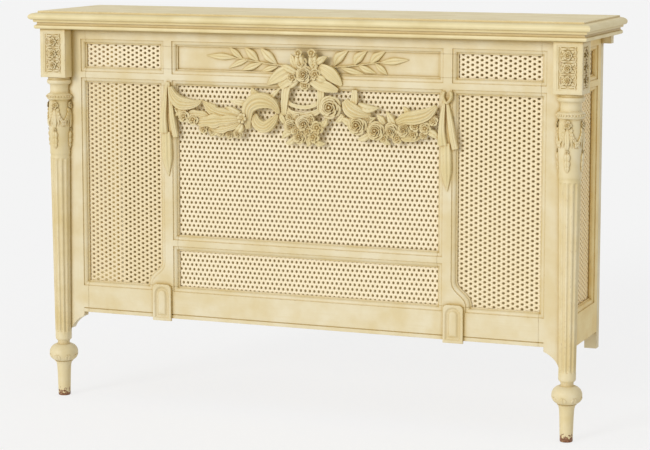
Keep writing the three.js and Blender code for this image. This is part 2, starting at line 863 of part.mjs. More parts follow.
const cabinet = new THREE.Group();
cabinet.name = "radiator_cover_cabinet";
const hands = [
  ["left", -1],
  ["right", 1],
];

const top = new THREE.Group();
top.add(meshOf("top_slab", topSlab(), creamPaint));
top.add(meshOf("bed_moulding", bedBoard(), creamPaint));

const caneRunsAcross = {
  bay_left: false,
  bay_right: false,
  frieze_left: true,
  frieze_right: true,
  middle_high: true,
  middle_low: true,
};

// Elevation drawings stand up on the plane of the front frame's face.
const front = new THREE.Group();
front.rotation.x = Math.PI / 2;
front.position.y = yFrame;
for (const [name, solid] of Object.entries(frontFrame())) front.add(meshOf(name, solid, creamPaint));
for (const [name, across] of Object.entries(caneRunsAcross))
  front.add(meshOf(`cane_${name}`, caneSheet(frontOpenings[name], across), paintedCane));
const friezeBack = -panelDepth - friezePanelThickness;
const friezePanel = slice(panelOutline(frontOpenings.frieze_middle), friezeBack, -panelDepth);
front.add(meshOf("frieze_panel", friezePanel, creamPaint));
front.add(meshOf("bouquet", bouquet(), carvedPaint));
front.add(meshOf("pendant", pendant(), carvedPaint));

const back = new THREE.Group();
back.add(meshOf("rear_batten", batten(), creamPaint));

cabinet.add(top, front, back);
for (const [name, side] of hands) {
  cabinet.add(meshOf(`front_post_${name}`, frontPost(side), creamPaint));
  front.add(meshOf(`plinth_${name}`, plinth(side), creamPaint));
  front.add(meshOf(`laurel_${name}`, laurel(side), carvedPaint));
  front.add(meshOf(`garland_${name}`, garland(side), carvedPaint));
  front.add(meshOf(`drapery_${name}`, drapery(side), carvedPaint));
  back.add(meshOf(`rear_post_${name}`, rearPost(side), creamPaint));
  back.add(meshOf(`hanger_${name}`, hangerPlate(side * hangerPlace), zincSteel));
  top.add(meshOf(`glue_block_front_${name}`, glueBlock(side, true), bareWood));
  top.add(meshOf(`glue_block_rear_${name}`, glueBlock(side, false), bareWood));

  const end = new THREE.Group();
  end.rotation.set(Math.PI / 2, 0, (side * Math.PI) / 2, "ZYX");
  end.position.set(side * frameHalf, yBlock, 0);
  const { members, openings } = endFrame(side);
  for (const [part, solid] of Object.entries(members))
    end.add(meshOf(`end_${part}_${name}`, solid, creamPaint));
  for (const [part, outline] of Object.entries(openings))
    end.add(meshOf(`end_${part}_${name}`, caneSheet(outline, part === "frieze"), paintedCane));
  cabinet.add(end);
}

export default cabinet;
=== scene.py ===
"""Dresses a painted radiator cover: woven cane, turned and fluted legs, carved swags and glazed paint."""

import logging
import math
import random
from collections.abc import Callable, Iterator, Sequence
from contextlib import contextmanager
from dataclasses import dataclass, field
from enum import Enum

import bmesh
import bpy
from mathutils import Matrix, Vector


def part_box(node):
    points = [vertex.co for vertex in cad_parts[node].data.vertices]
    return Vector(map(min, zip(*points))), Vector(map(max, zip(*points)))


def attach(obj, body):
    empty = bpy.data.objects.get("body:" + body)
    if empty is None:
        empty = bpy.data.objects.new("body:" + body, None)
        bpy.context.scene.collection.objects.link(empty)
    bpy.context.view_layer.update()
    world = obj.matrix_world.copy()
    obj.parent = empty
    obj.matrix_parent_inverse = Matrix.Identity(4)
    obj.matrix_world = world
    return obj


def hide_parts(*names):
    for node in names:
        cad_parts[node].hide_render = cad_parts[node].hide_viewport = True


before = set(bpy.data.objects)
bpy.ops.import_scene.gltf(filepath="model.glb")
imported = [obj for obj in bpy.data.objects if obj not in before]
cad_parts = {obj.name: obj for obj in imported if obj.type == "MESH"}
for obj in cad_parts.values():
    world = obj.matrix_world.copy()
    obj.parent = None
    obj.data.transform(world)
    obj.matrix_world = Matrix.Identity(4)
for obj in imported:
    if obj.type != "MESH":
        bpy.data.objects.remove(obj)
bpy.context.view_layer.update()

MM = 0.001  # sizes below are in millimetres, and a finished mesh is in metres
log = logging.getLogger("radiator_cover")

Surface = Callable[[float, float], tuple[float, float, float]]
Place = tuple[float, ...]


# ---------- The bench: what every piece is made with ----------


def alone(piece: bpy.types.Object) -> None:
    """Makes the piece the only one that an operator acts on."""
    bpy.ops.object.select_all(action="DESELECT")
    piece.select_set(True)
    bpy.context.view_layer.objects.active = piece


@contextmanager
def edited(piece: bpy.types.Object, elements: str = "FACE") -> Iterator[bmesh.types.BMesh]:
    """Holds the piece in edit mode with nothing selected.

    Args:
        piece: the piece.
        elements: what is selected there, FACE or VERT.

    Yields:
        The mesh being edited.
    """
    alone(piece)
    bpy.ops.object.mode_set(mode="EDIT")
    bpy.ops.mesh.select_mode(type=elements)
    bpy.ops.mesh.select_all(action="DESELECT")
    yield bmesh.from_edit_mesh(piece.data)
    bpy.ops.object.mode_set(mode="OBJECT")


def pick(mesh: bmesh.types.BMesh, test: Callable[[bmesh.types.BMFace], bool]) -> None:
    """Selects the faces that pass a test on their place or normal, and nothing else."""
    bpy.ops.mesh.select_all(action="DESELECT")
    for face in mesh.faces:
        face.select_set(test(face))
    mesh.select_flush_mode()


def started(name: str) -> bpy.types.Object:
    """Names the primitive that was added last and returns it."""
    piece = bpy.context.object
    piece.name = name
    return piece


def finish_with(piece: bpy.types.Object, kind: str, **settings: object) -> None:
    """Adds a modifier with its settings to a piece and applies it.

    Args:
        piece: the piece.
        kind: the modifier's type.
        **settings: its properties.
    """
    alone(piece)
    modifier = piece.modifiers.new(kind.title(), kind)
    for key, value in settings.items():
        setattr(modifier, key, value)
    bpy.ops.object.modifier_apply(modifier=modifier.name)


def settle(piece: bpy.types.Object, matrix: Matrix | None = None) -> None:
    """Puts the piece's place into its mesh, after one more matrix where that is given."""
    if matrix is not None:
        piece.matrix_world = matrix @ piece.matrix_world
    alone(piece)
    bpy.ops.object.transform_apply(location=True, rotation=True, scale=True)


def closed_outwards(piece: bpy.types.Object, weld: float = 1e-4) -> None:
    """Merges the doubles of a piece and turns its faces outwards."""
    with edited(piece, "VERT"):
        bpy.ops.mesh.select_all(action="SELECT")
        bpy.ops.mesh.remove_doubles(threshold=weld)
        bpy.ops.mesh.normals_make_consistent(inside=False)


def softened(piece: bpy.types.Object, degrees: float = 35.0) -> None:
    """Shades the piece smooth but for edges sharper than an angle."""
    alone(piece)
    bpy.ops.object.shade_smooth_by_angle(angle=math.radians(degrees))


def copy_of(piece: bpy.types.Object, matrix: Matrix) -> bpy.types.Object:
    """A copy with a mesh of its own, moved by a matrix."""
    copy = bpy.data.objects.new(piece.name, piece.data.copy())
    bpy.context.scene.collection.objects.link(copy)
    copy.data.transform(matrix)
    if matrix.determinant() < 0:
        copy.data.flip_normals()
    return copy


def joined(name: str, pieces: Sequence[bpy.types.Object]) -> bpy.types.Object:
    """Joins pieces into one object under a name."""
    bpy.ops.object.select_all(action="DESELECT")
    for piece in pieces:
        piece.select_set(True)
    bpy.context.view_layer.objects.active = pieces[0]
    if len(pieces) > 1:
        bpy.ops.object.join()
    pieces[0].name = name
    return pieces[0]


def dropped(*pieces: bpy.types.Object) -> None:
    """Removes patterns that have been copied."""
    for piece in pieces:
        bpy.data.meshes.remove(piece.data)


def spun(name: str, profile: Sequence[tuple[float, float]], steps: int) -> bpy.types.Object:
    """Turns a profile round the z axis, as on a lathe.

    Args:
        name: the piece's name.
        profile: radius and height of each point, from the lowest up, on the axis at both ends.
        steps: faces round the piece.

    Returns:
        The turned piece, in millimetres.
    """
    bpy.ops.mesh.primitive_plane_add(size=1)
    piece = started(name)
    with edited(piece, "VERT"):
        bpy.ops.mesh.select_all(action="SELECT")
        bpy.ops.mesh.merge(type="CENTER")
        bpy.ops.mesh.select_all(action="SELECT")
        bpy.ops.transform.translate(value=(profile[0][0], 0, profile[0][1]))
        for (radius, height), (after, above) in zip(profile, profile[1:]):
            move = {"value": (after - radius, 0, above - height)}
            bpy.ops.mesh.extrude_region_move(TRANSFORM_OT_translate=move)
        bpy.ops.mesh.select_all(action="SELECT")
        bpy.ops.mesh.spin(steps=steps, angle=math.tau, center=(0, 0, 0), axis=(0, 0, 1))
    closed_outwards(piece)
    return piece


def bent_sheet(name: str, shape: Surface, along: int, across: int, thick: float) -> bpy.types.Object:
    """Carves a petal, leaf or fold: a grid bent by a formula, with a thickness behind it.

    Args:
        name: the piece's name.
        shape: gives a point for a share u along, from 0 to 1, and v across, from -1 to 1.
        along: faces along the sheet.
        across: faces across it.
        thick: how thick it is.

    Returns:
        The closed sheet, in the formula's units.
    """
    bpy.ops.mesh.primitive_grid_add(x_subdivisions=along, y_subdivisions=across, size=1)
    piece = started(name)
    for vertex in piece.data.vertices:
        vertex.co = shape(vertex.co.x + 0.5, vertex.co.y * 2)
    finish_with(piece, "SOLIDIFY", thickness=thick, offset=-1)
    return piece


def blend_of(low: float, high: float, share: float) -> float:
    """The value at a share of the way from one to another."""
    return low + (high - low) * share


def along_curve(points: Sequence[Place], share: float) -> Vector:
    """A point on the smooth curve through some points.

    Args:
        points: the points, each with the same number of values.
        share: how far along, from 0 to 1.

    Returns:
        The point there.
    """
    spans = len(points) - 1
    span = min(int(share * spans), spans - 1)
    t = share * spans - span
    before, here, after, beyond = (
        Vector(points[max(0, min(spans, span + step))]) for step in (-1, 0, 1, 2)
    )
    linear_part = (after - before) * t
    square_part = (2 * before - 5 * here + 4 * after - beyond) * t**2
    cubic_part = (3 * here - before - 3 * after + beyond) * t**3
    return here + (linear_part + square_part + cubic_part) * 0.5


# ---------- Where things stand, read from the frame ----------


class Face(Enum):
    """A side of the cabinet that is drawn in elevation: x across, y up, z out of the face."""

    FRONT = 0
    RIGHT_END = 1
    LEFT_END = -1

    def matrix(self, origin: tuple[float, float, float]) -> Matrix:
        """Stands a drawing up at a place in the cabinet, and turns millimetres to metres."""
        upright = Matrix.Rotation(math.pi / 2, 4, "X")
        turn = Matrix.Rotation(self.value * math.pi / 2, 4, "Z")
        return Matrix.Scale(MM, 4) @ Matrix.Translation(origin) @ turn @ upright


@dataclass(frozen=True)
class Layout:
    """The planes and levels of the cabinet in millimetres, taken from the CAD nodes."""

    case_top: float
    block_foot: float
    y_block: float
    y_frame: float
    y_back: float
    block_reach: float
    frame_half: float
    opening_top: float
    centre_half: float
    block_side: float = 68.0
    block_height: float = 119.0
    front_recess: float = 37.0  # the front frame, behind the faces of the blocks
    end_recess: float = 35.0  # an end frame, inside the outer face of its block
    sticking: float = 12.6  # width of the moulded edge of an opening
    rebate: float = 5.7  # how far a sheet of cane reaches under it

    @classmethod
    def from_frame(cls) -> "Layout":
        """Reads the boxes of a few nodes."""
        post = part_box("front_post_right")
        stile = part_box("front_stile_right")
        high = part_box("cane_middle_high")
        sticking, rebate = cls.sticking, cls.rebate
        return cls(
            case_top=post[1].z / MM,
            block_foot=post[1].z / MM - cls.block_height,
            y_block=stile[0].y / MM - cls.front_recess,
            y_frame=stile[0].y / MM,
            y_back=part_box("rear_batten")[1].y / MM,
            block_reach=stile[1].x / MM + cls.end_recess,
            frame_half=stile[1].x / MM,
            opening_top=high[1].z / MM + sticking - rebate,
            centre_half=high[1].x / MM + sticking - rebate,
        )

    def post_axis(self, side: int) -> tuple[float, float]:
        """The middle of a front post on the plan."""
        half = self.block_side / 2
        return side * (self.block_reach - half), self.y_block + half

    def elevation(self, face: Face, out: float = 0.0) -> Matrix:
        """Where a drawing in elevation stands, so far out of the face."""
        if face is Face.FRONT:
            return face.matrix((0, self.y_frame - out, 0))
        return face.matrix((face.value * (self.frame_half + out), self.y_block, 0))


# ---------- Finishes ----------


def linear(code: str) -> tuple[float, float, float, float]:
    """The linear colour of an sRGB hex value."""
    shares = [int(code[i : i + 2], 16) / 255 for i in (0, 2, 4)]
    red, green, blue = (s / 12.92 if s <= 0.04045 else ((s + 0.055) / 1.055) ** 2.4 for s in shares)
    return red, green, blue, 1.0


FACTOR, COLOUR_A, COLOUR_B, MIXED_COLOUR = 0, 6, 7, 2  # sockets of a Mix node set to colours


def result_of(node: bpy.types.Node) -> bpy.types.NodeSocket:
    """The socket that a node's result comes out of."""
    return node.outputs[MIXED_COLOUR if node.bl_idname == "ShaderNodeMix" else 0]


def add(
    tree: bpy.types.NodeTree, kind: str, inputs: dict | None = None, **settings: object
) -> bpy.types.Node:
    """Adds one node with its settings and links.

    Args:
        tree: the node tree.
        kind: the node's type, without its prefix.
        inputs: a value, another node or its socket for each input, by name or number.
        **settings: the node's properties.

    Returns:
        The node.
    """
    node = tree.nodes.new("ShaderNode" + kind)
    for key, value in settings.items():
        setattr(node, key, value)
    for key, value in (inputs or {}).items():
        source = result_of(value) if isinstance(value, bpy.types.Node) else value
        if isinstance(source, bpy.types.NodeSocket):
            tree.links.new(source, node.inputs[key])
        else:
            node.inputs[key].default_value = source
    return node


def new_material(name: str) -> tuple[bpy.types.Material, bpy.types.NodeTree, bpy.types.Node]:
    """A new material of a name, with its node tree and its shader."""
    made = bpy.data.materials.new(name)
    made.use_nodes = True
    return made, made.node_tree, made.node_tree.nodes["Principled BSDF"]


def patches(
    tree: bpy.types.NodeTree, size: float, stretch: Sequence[float] = (1, 1, 1)
) -> bpy.types.NodeSocket:
    """Soft patches of about a size in millimetres, drawn out along the axes by a stretch."""
    place = add(tree, "TexCoord").outputs["Object"]
    scale = [1 / (size * MM * s) for s in stretch]
    mapped = add(tree, "Mapping", {"Vector": place, "Scale": scale})
    inputs = {"Vector": mapped, "Scale": 1.0, "Detail": 3.0, "Roughness": 0.55}
    return add(tree, "TexNoise", inputs).outputs["Fac"]


class Grain(Enum):
    """Which way the brush and the fibres run, as a stretch along each axis."""

    ACROSS = (30, 1, 1)
    BACKWARDS = (1, 30, 1)
    UPRIGHT = (1, 1, 30)
    CARVED = (1, 1, 2)

    @classmethod
    def of(cls, node: str) -> "Grain":
        """The grain of a CAD node, which runs along its longest side."""
        low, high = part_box(node)
        sides = list(high - low)
        return (cls.ACROSS, cls.BACKWARDS, cls.UPRIGHT)[sides.index(max(sides))]


@dataclass(frozen=True)
class GlazedPaint:
    """Oil paint brushed on beech, with a brown glaze wiped off all but the hollows.

    The paint gives a buttery satin skin with faint brush marks. The glaze gives the yellow-brown
    lines along each moulding, and rubbing has bared the wood on the sharpest edges.
    """

    slot: str
    light: str = "E6DAB8"
    warm: str = "DDCB9C"
    glaze: str = "C2A45C"
    deep: str = "94783C"
    wood: str = "9A6B4A"
    old_wood: str = "6E4526"
    roughness: float = 0.48
    reach: float = 11.0  # how near a neighbouring surface holds the glaze
    wear: float = 0.55
    scuff: float = 0.0  # how far up from the floor the paint is chipped
    grain: Grain = Grain.UPRIGHT

    def material(self) -> bpy.types.Material:
        """Builds the nodes of this paint, or returns those built before."""
        name = "_".join((self.slot, self.grain.name.lower(), self.light.lower()))
        if name in bpy.data.materials:
            return bpy.data.materials[name]
        made, tree, shader = new_material(name)
        # Brush marks are a third of a millimetre apart; these are 3 mm apart, so that they show.
        strokes = patches(tree, 3, self.grain.value)
        distance = {"Distance": self.reach * MM}
        open_share = add(tree, "AmbientOcclusion", distance, samples=6).outputs["AO"]
        paint = self.glazed(tree, self.brushed(tree, strokes), open_share)
        paint = self.rubbed(tree, paint, open_share)
        if self.scuff:
            paint = self.chipped(tree, paint)
        tree.links.new(result_of(paint), shader.inputs["Base Color"])
        satin = {"Value": strokes, "To Min": self.roughness - 0.06, "To Max": self.roughness + 0.1}
        sheen = add(tree, "MapRange", satin)
        tree.links.new(sheen.outputs[0], shader.inputs["Roughness"])
        bump = add(tree, "Bump", {"Height": strokes, "Strength": 0.25, "Distance": 0.3 * MM})
        tree.links.new(bump.outputs[0], shader.inputs["Normal"])
        shader.inputs["IOR"].default_value = 1.48
        return made

    def brushed(self, tree: bpy.types.NodeTree, strokes: bpy.types.NodeSocket) -> bpy.types.Node:
        """The paint itself, mottled and warmer along the brush marks."""
        light, warm = linear(self.light), linear(self.warm)
        cloud = add(tree, "MapRange", {"Value": patches(tree, 70), "From Min": 0.35, "From Max": 0.65})
        paint = add(tree, "Mix", {FACTOR: cloud, COLOUR_A: light, COLOUR_B: warm}, data_type="RGBA")
        marks = add(tree, "MapRange", {"Value": strokes, "From Min": 0.5, "From Max": 0.75, "To Max": 0.35})
        return add(tree, "Mix", {FACTOR: marks, COLOUR_A: paint, COLOUR_B: warm}, data_type="RGBA")

    def glazed(
        self, tree: bpy.types.NodeTree, paint: bpy.types.Node, open_share: bpy.types.NodeSocket
    ) -> bpy.types.Node:
        """The paint with the glaze left in its hollows, broken up where the cloth has caught it.

        Args:
            tree: the node tree.
            paint: the paint's colour.
            open_share: how open the surface is at each place.

        Returns:
            The colour with the glaze on it.
        """
        glaze, deep = linear(self.glaze), linear(self.deep)
        hollow = add(tree, "Math", {0: 1.0, 1: open_share}, operation="SUBTRACT")
        near = add(tree, "MapRange", {"Value": hollow, "From Min": 0.04, "From Max": 0.42})
        broken = add(tree, "MapRange", {"Value": patches(tree, 14), "From Min": 0.2, "From Max": 0.6})
        broken = add(tree, "MapRange", {"Value": broken, "From Min": -0.9, "From Max": 0.7})
        lies = add(tree, "Math", {0: near, 1: broken}, operation="MULTIPLY")
        paint = add(tree, "Mix", {FACTOR: lies, COLOUR_A: paint, COLOUR_B: glaze}, data_type="RGBA")
        pool = add(tree, "MapRange", {"Value": hollow, "From Min": 0.42, "From Max": 0.95})
        return add(tree, "Mix", {FACTOR: pool, COLOUR_A: paint, COLOUR_B: deep}, data_type="RGBA")

    def rubbed(
        self, tree: bpy.types.NodeTree, paint: bpy.types.Node, open_share: bpy.types.NodeSocket
    ) -> bpy.types.Node:
        """The paint with bare wood where its sharp and open edges have been rubbed.

        Args:
            tree: the node tree.
            paint: the paint's colour.
            open_share: how open the surface is at each place.

        Returns:
            The colour with the wood showing.
        """
        rounded = add(tree, "Bevel", {"Radius": 1.8 * MM}, samples=2)
        flat = add(tree, "NewGeometry").outputs["Normal"]
        turn = add(tree, "VectorMath", {0: rounded, 1: flat}, operation="DOT_PRODUCT").outputs["Value"]
        edge = add(tree, "Math", {0: 1.0, 1: turn}, operation="SUBTRACT")
        edge = add(tree, "MapRange", {"Value": edge, "From Min": 0.02, "From Max": 0.12})
        spots = add(tree, "MapRange", {"Value": patches(tree, 7), "From Min": 0.56, "From Max": 0.62})
        reached = {"Value": open_share, "From Min": 0.55, "From Max": 0.85, "To Max": self.wear}
        share = add(tree, "Math", {0: edge, 1: spots}, operation="MULTIPLY")
        share = add(tree, "Math", {0: share, 1: add(tree, "MapRange", reached)}, operation="MULTIPLY")
        inputs = {FACTOR: share, COLOUR_A: paint, COLOUR_B: linear(self.wood)}
        return add(tree, "Mix", inputs, data_type="RGBA")

    def chipped(self, tree: bpy.types.NodeTree, paint: bpy.types.Node) -> bpy.types.Node:
        """The paint with chips knocked out of it close to the floor."""
        place = add(tree, "TexCoord").outputs["Object"]
        level = add(tree, "SeparateXYZ", {0: place}).outputs["Z"]
        low = add(tree, "MapRange", {"Value": level, "From Min": self.scuff * MM, "From Max": 0.0})
        more = add(tree, "Math", {0: low, 1: 0.35}, operation="MULTIPLY")
        chips = add(tree, "Math", {0: patches(tree, 5), 1: more}, operation="ADD")
        chips = add(tree, "MapRange", {"Value": chips, "From Min": 0.66, "From Max": 0.7})
        foot = add(tree, "MapRange", {"Value": low, "From Min": 0.0, "From Max": 0.2})
        share = add(tree, "Math", {0: chips, 1: foot}, operation="MULTIPLY")
        stain = add(tree, "MapRange", {"Value": patches(tree, 3), "From Min": 0.4, "From Max": 0.6})
        woods = {FACTOR: stain, COLOUR_A: linear(self.wood), COLOUR_B: linear(self.old_wood)}
        bare = add(tree, "Mix", woods, data_type="RGBA")
        return add(tree, "Mix", {FACTOR: share, COLOUR_A: paint, COLOUR_B: bare}, data_type="RGBA")


@dataclass(frozen=True)
class PaintedCane:
    """Woven strips of cane under a thin coat of paint.

    The strands that lie high are painted lighter, a painted highlight. Those in the depth of the
    weave, where the strands cross, are painted a dark brown that is partly glaze and partly
    painted shade.
    """

    slot: str = "painted_cane"
    # painted highlight: the colour of the strands that lie highest
    high: str = "FCEFD0"
    mid: str = "EEDDB4"
    # partly glaze and partly painted shade: the colour of the strands deepest in the weave
    deep: str = "A5854C"
    roughness: float = 0.42

    def material(self) -> bpy.types.Material:
        """Builds the nodes of the cane, or returns those built before."""
        name = "_".join((self.slot, self.high.lower()))
        if name in bpy.data.materials:
            return bpy.data.materials[name]
        made, tree, shader = new_material(name)
        deep, mid, high = linear(self.deep), linear(self.mid), linear(self.high)
        lie = add(tree, "Attribute", attribute_name=CaneSheet.LIE).outputs["Fac"]
        # The lowest strands take the deep colour: glaze and painted shade.
        risen = add(tree, "MapRange", {"Value": lie, "From Min": 0.05, "From Max": 0.5})
        paint = add(tree, "Mix", {FACTOR: risen, COLOUR_A: deep, COLOUR_B: mid}, data_type="RGBA")
        # The highest strands take the lighter colour, a painted highlight.
        top = add(tree, "MapRange", {"Value": lie, "From Min": 0.5, "From Max": 0.95})
        paint = add(tree, "Mix", {FACTOR: top, COLOUR_A: paint, COLOUR_B: high}, data_type="RGBA")
        cloud = {"Value": patches(tree, 45), "From Min": 0.35, "From Max": 0.7, "To Max": 0.3}
        mottle = add(tree, "MapRange", cloud)
        paint = add(tree, "Mix", {FACTOR: mottle, COLOUR_A: paint, COLOUR_B: mid}, data_type="RGBA")
        tree.links.new(result_of(paint), shader.inputs["Base Color"])
        # The fibres of cane are 0.1 mm apart; these are 0.5 mm apart, so that they show close to.
        fibres = patches(tree, 0.5)
        bump = add(tree, "Bump", {"Height": fibres, "Strength": 0.2, "Distance": 0.1 * MM})
        tree.links.new(bump.outputs[0], shader.inputs["Normal"])
        shader.inputs["Roughness"].default_value = self.roughness
        shader.inputs["IOR"].default_value = 1.5
        return made


@dataclass(frozen=True)
class BareBeech:
    """Planed beech without a finish: a dry, matt wood with fine short flecks along its grain."""

    slot: str = "bare_beech"
    early: str = "CFA878"
    late: str = "A97F50"
    fleck: str = "8A6238"
    roughness: float = 0.72
    grain: Grain = Grain.ACROSS

    def material(self) -> bpy.types.Material:
        """Builds the nodes of the wood, or returns those built before."""
        name = f"{self.slot}_{self.grain.name.lower()}"
        if name in bpy.data.materials:
            return bpy.data.materials[name]
        made, tree, shader = new_material(name)
        early, late, fleck = linear(self.early), linear(self.late), linear(self.fleck)
        bands = patches(tree, 7, self.grain.value)
        flecks = patches(tree, 1.2, [math.sqrt(s) for s in self.grain.value])
        growth = add(tree, "MapRange", {"Value": bands, "From Min": 0.35, "From Max": 0.65})
        wood = add(tree, "Mix", {FACTOR: growth, COLOUR_A: early, COLOUR_B: late}, data_type="RGBA")
        marks = add(tree, "MapRange", {"Value": flecks, "From Min": 0.6, "From Max": 0.72, "To Max": 0.6})
        wood = add(tree, "Mix", {FACTOR: marks, COLOUR_A: wood, COLOUR_B: fleck}, data_type="RGBA")
        tree.links.new(result_of(wood), shader.inputs["Base Color"])
        bump = add(tree, "Bump", {"Height": flecks, "Strength": 0.3, "Distance": 0.2 * MM})
        tree.links.new(bump.outputs[0], shader.inputs["Normal"])
        shader.inputs["Roughness"].default_value = self.roughness
        shader.inputs["IOR"].default_value = 1.45
        return made


@dataclass(frozen=True)
class ZincSteel:
    """Pressed steel with zinc plating: a dull metal with faint cloudy spangles."""

    slot: str = "zinc_steel"
    bright: str = "C2C5C6"
    dull: str = "9FA3A5"

    def material(self) -> bpy.types.Material:
        """Builds the nodes of the metal, or returns those built before."""
        if self.slot in bpy.data.materials:
            return bpy.data.materials[self.slot]
        made, tree, shader = new_material(self.slot)
        cloud = add(tree, "MapRange", {"Value": patches(tree, 5), "From Min": 0.35, "From Max": 0.65})
        colours = {FACTOR: cloud, COLOUR_A: linear(self.bright), COLOUR_B: linear(self.dull)}
        zinc = add(tree, "Mix", colours, data_type="RGBA")
        tree.links.new(result_of(zinc), shader.inputs["Base Color"])
        rough = add(tree, "MapRange", {"Value": cloud, "To Min": 0.34, "To Max": 0.48})
        tree.links.new(rough.outputs[0], shader.inputs["Roughness"])
        shader.inputs["Metallic"].default_value = 1.0
        return made


Finish = GlazedPaint | PaintedCane | BareBeech | ZincSteel
CARVED_PAINT = GlazedPaint(
    "carved_paint",
    light="E8DAAE",
    warm="DFCE98",
    glaze="CBB072",
    deep="A27C40",
    reach=9.0,
    grain=Grain.CARVED,
)
# The slab and its bed moulding take a lighter, yellower copy of the cream paint, as painted light on a top
# that the low key light barely reaches. Its glaze is lighter too.
TOP_PAINT = GlazedPaint(
    "cream_paint", light="EDDEAE", warm="E2D09A", glaze="D2B97C", deep="B4965A", grain=Grain.ACROSS
)
POST_PAINT = GlazedPaint("cream_paint", light="E9DBB4", warm="DFCC98", wear=0.9, scuff=26.0, reach=9.0)
# The end frames take a lighter, yellower copy of the cream paint: partly a stronger yellow glaze, partly
# painted light falling on the ends.
END_GLAZE_AND_PAINTED_LIGHT = {"light": "F4DEA0", "warm": "E8CA82", "glaze": "C29C4C"}


def dress(piece: bpy.types.Object, finish: Finish, *nodes: str) -> None:
    """Gives a finished piece its material and slot, and says which CAD nodes it stands for.

    Args:
        piece: the piece, in place.
        finish: its finish.
        *nodes: the nodes that it replaces.
    """
    piece.data.materials.clear()
    piece.data.materials.append(finish.material())
    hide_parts(*nodes)
    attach(piece, "root")
    log.info("%s: %d faces, for %s", piece.name, len(piece.data.polygons), ", ".join(nodes))


# ---------- Joinery ----------


@dataclass
class Joinery:
    """The rails, stiles, posts and blocks that are planed and moulded straight from the CAD nodes."""

    painted: tuple[str, ...]
    bare: tuple[str, ...]
    plated: tuple[str, ...]
    arris: float = 0.7  # every sharp edge has been sanded round by so much

    def planed(self, node: str, arris: float) -> bpy.types.Object:
        """A merged copy of a node with its arrises rounded.

        Args:
            node: the node's name.
            arris: the width of the rounding.

        Returns:
            The copy, in place.
        """
        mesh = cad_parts[node].data.copy()
        piece = bpy.data.objects.new("finished_" + node, mesh)
        bpy.context.scene.collection.objects.link(piece)
        with edited(piece):
            bpy.ops.mesh.select_all(action="SELECT")
            bpy.ops.mesh.remove_doubles(threshold=2e-5)
            bpy.ops.mesh.dissolve_limited(angle_limit=math.radians(0.6))
        finish_with(
            piece,
            "BEVEL",
            width=arris * MM,
            segments=2,
            limit_method="ANGLE",
            angle_limit=math.radians(38),
            use_clamp_overlap=True,
        )
        softened(piece, 34)
        finish_with(piece, "WEIGHTED_NORMAL", keep_sharp=True)
        return piece

    def build(self) -> None:
        """Makes and dresses every member."""
        for node in self.painted:
            # End members: a stronger glaze and painted light.
            tint = END_GLAZE_AND_PAINTED_LIGHT if node.startswith("end_") else {}
            finish = GlazedPaint("cream_paint", grain=Grain.of(node), **tint)
            dress(self.planed(node, self.arris), finish, node)
        for node in self.bare:
            dress(self.planed(node, self.arris), BareBeech(grain=Grain.of(node)), node)
        for node in self.plated:
            dress(self.planed(node, self.arris / 4), ZincSteel(), node)


@dataclass
class MouldedTop:
    """The slab and the bed moulding under it, each run along the front and both ends."""

    layout: Layout
    slab: tuple[Place, ...] = (
        (7, 937), (11.2, 937.6), (12, 939), (12.4, 943), (14, 943.4), (17, 944), (19.4, 945.4),
        (21.2, 947.6), (22, 950.4), (21.6, 953), (20.2, 955.4), (17.8, 957.4), (14.4, 959), (11, 960),
        (7, 960.6), (3.6, 960.9), (3.5, 964.2), (2.8, 965),
    )
    bed: tuple[Place, ...] = (
        (4, 921), (7.4, 921.3), (9.6, 922.4), (10.7, 924), (11, 926), (10.8, 928.2), (9.9, 929.8),
        (8, 930.6), (6.4, 931), (5.6, 932.4), (5.2, 934.6), (5, 937),
    )

    def run(self, name: str, profile: Sequence[Place]) -> bpy.types.Object:
        """Draws a board up through its moulded levels, about the middle of its back edge.

        Args:
            name: the board's name.
            profile: how far the edge stands out beyond the blocks at each height.

        Returns:
            The board, in metres.
        """
        half, front, back = self.layout.block_reach, self.layout.y_block, self.layout.y_back
        reach, level = profile[0]
        bpy.ops.mesh.primitive_plane_add(size=1, location=(0, (front - reach + back) / 2, level))
        board = started(name)
        board.scale = (2 * (half + reach), back - front + reach, 1)
        settle(board)
        with edited(board):
            bpy.ops.mesh.select_all(action="SELECT")
            for (reach, level), (after, above) in zip(profile, profile[1:]):
                move = {"value": (0, 0, above - level)}
                bpy.ops.mesh.extrude_region_move(TRANSFORM_OT_translate=move)
                wide = (half + after) / (half + reach)
                deep = (back - front + after) / (back - front + reach)
                bpy.ops.transform.resize(value=(wide, deep, 1), center_override=(0, back, above))
        closed_outwards(board)
        settle(board, Matrix.Scale(MM, 4))
        softened(board, 32)
        return board

    def build(self) -> None:
        """Makes and dresses both boards."""
        dress(self.run("moulded_slab", self.slab), TOP_PAINT, "top_slab")
        dress(self.run("bed_mould", self.bed), TOP_PAINT, "bed_moulding")


# ---------- Cane ----------


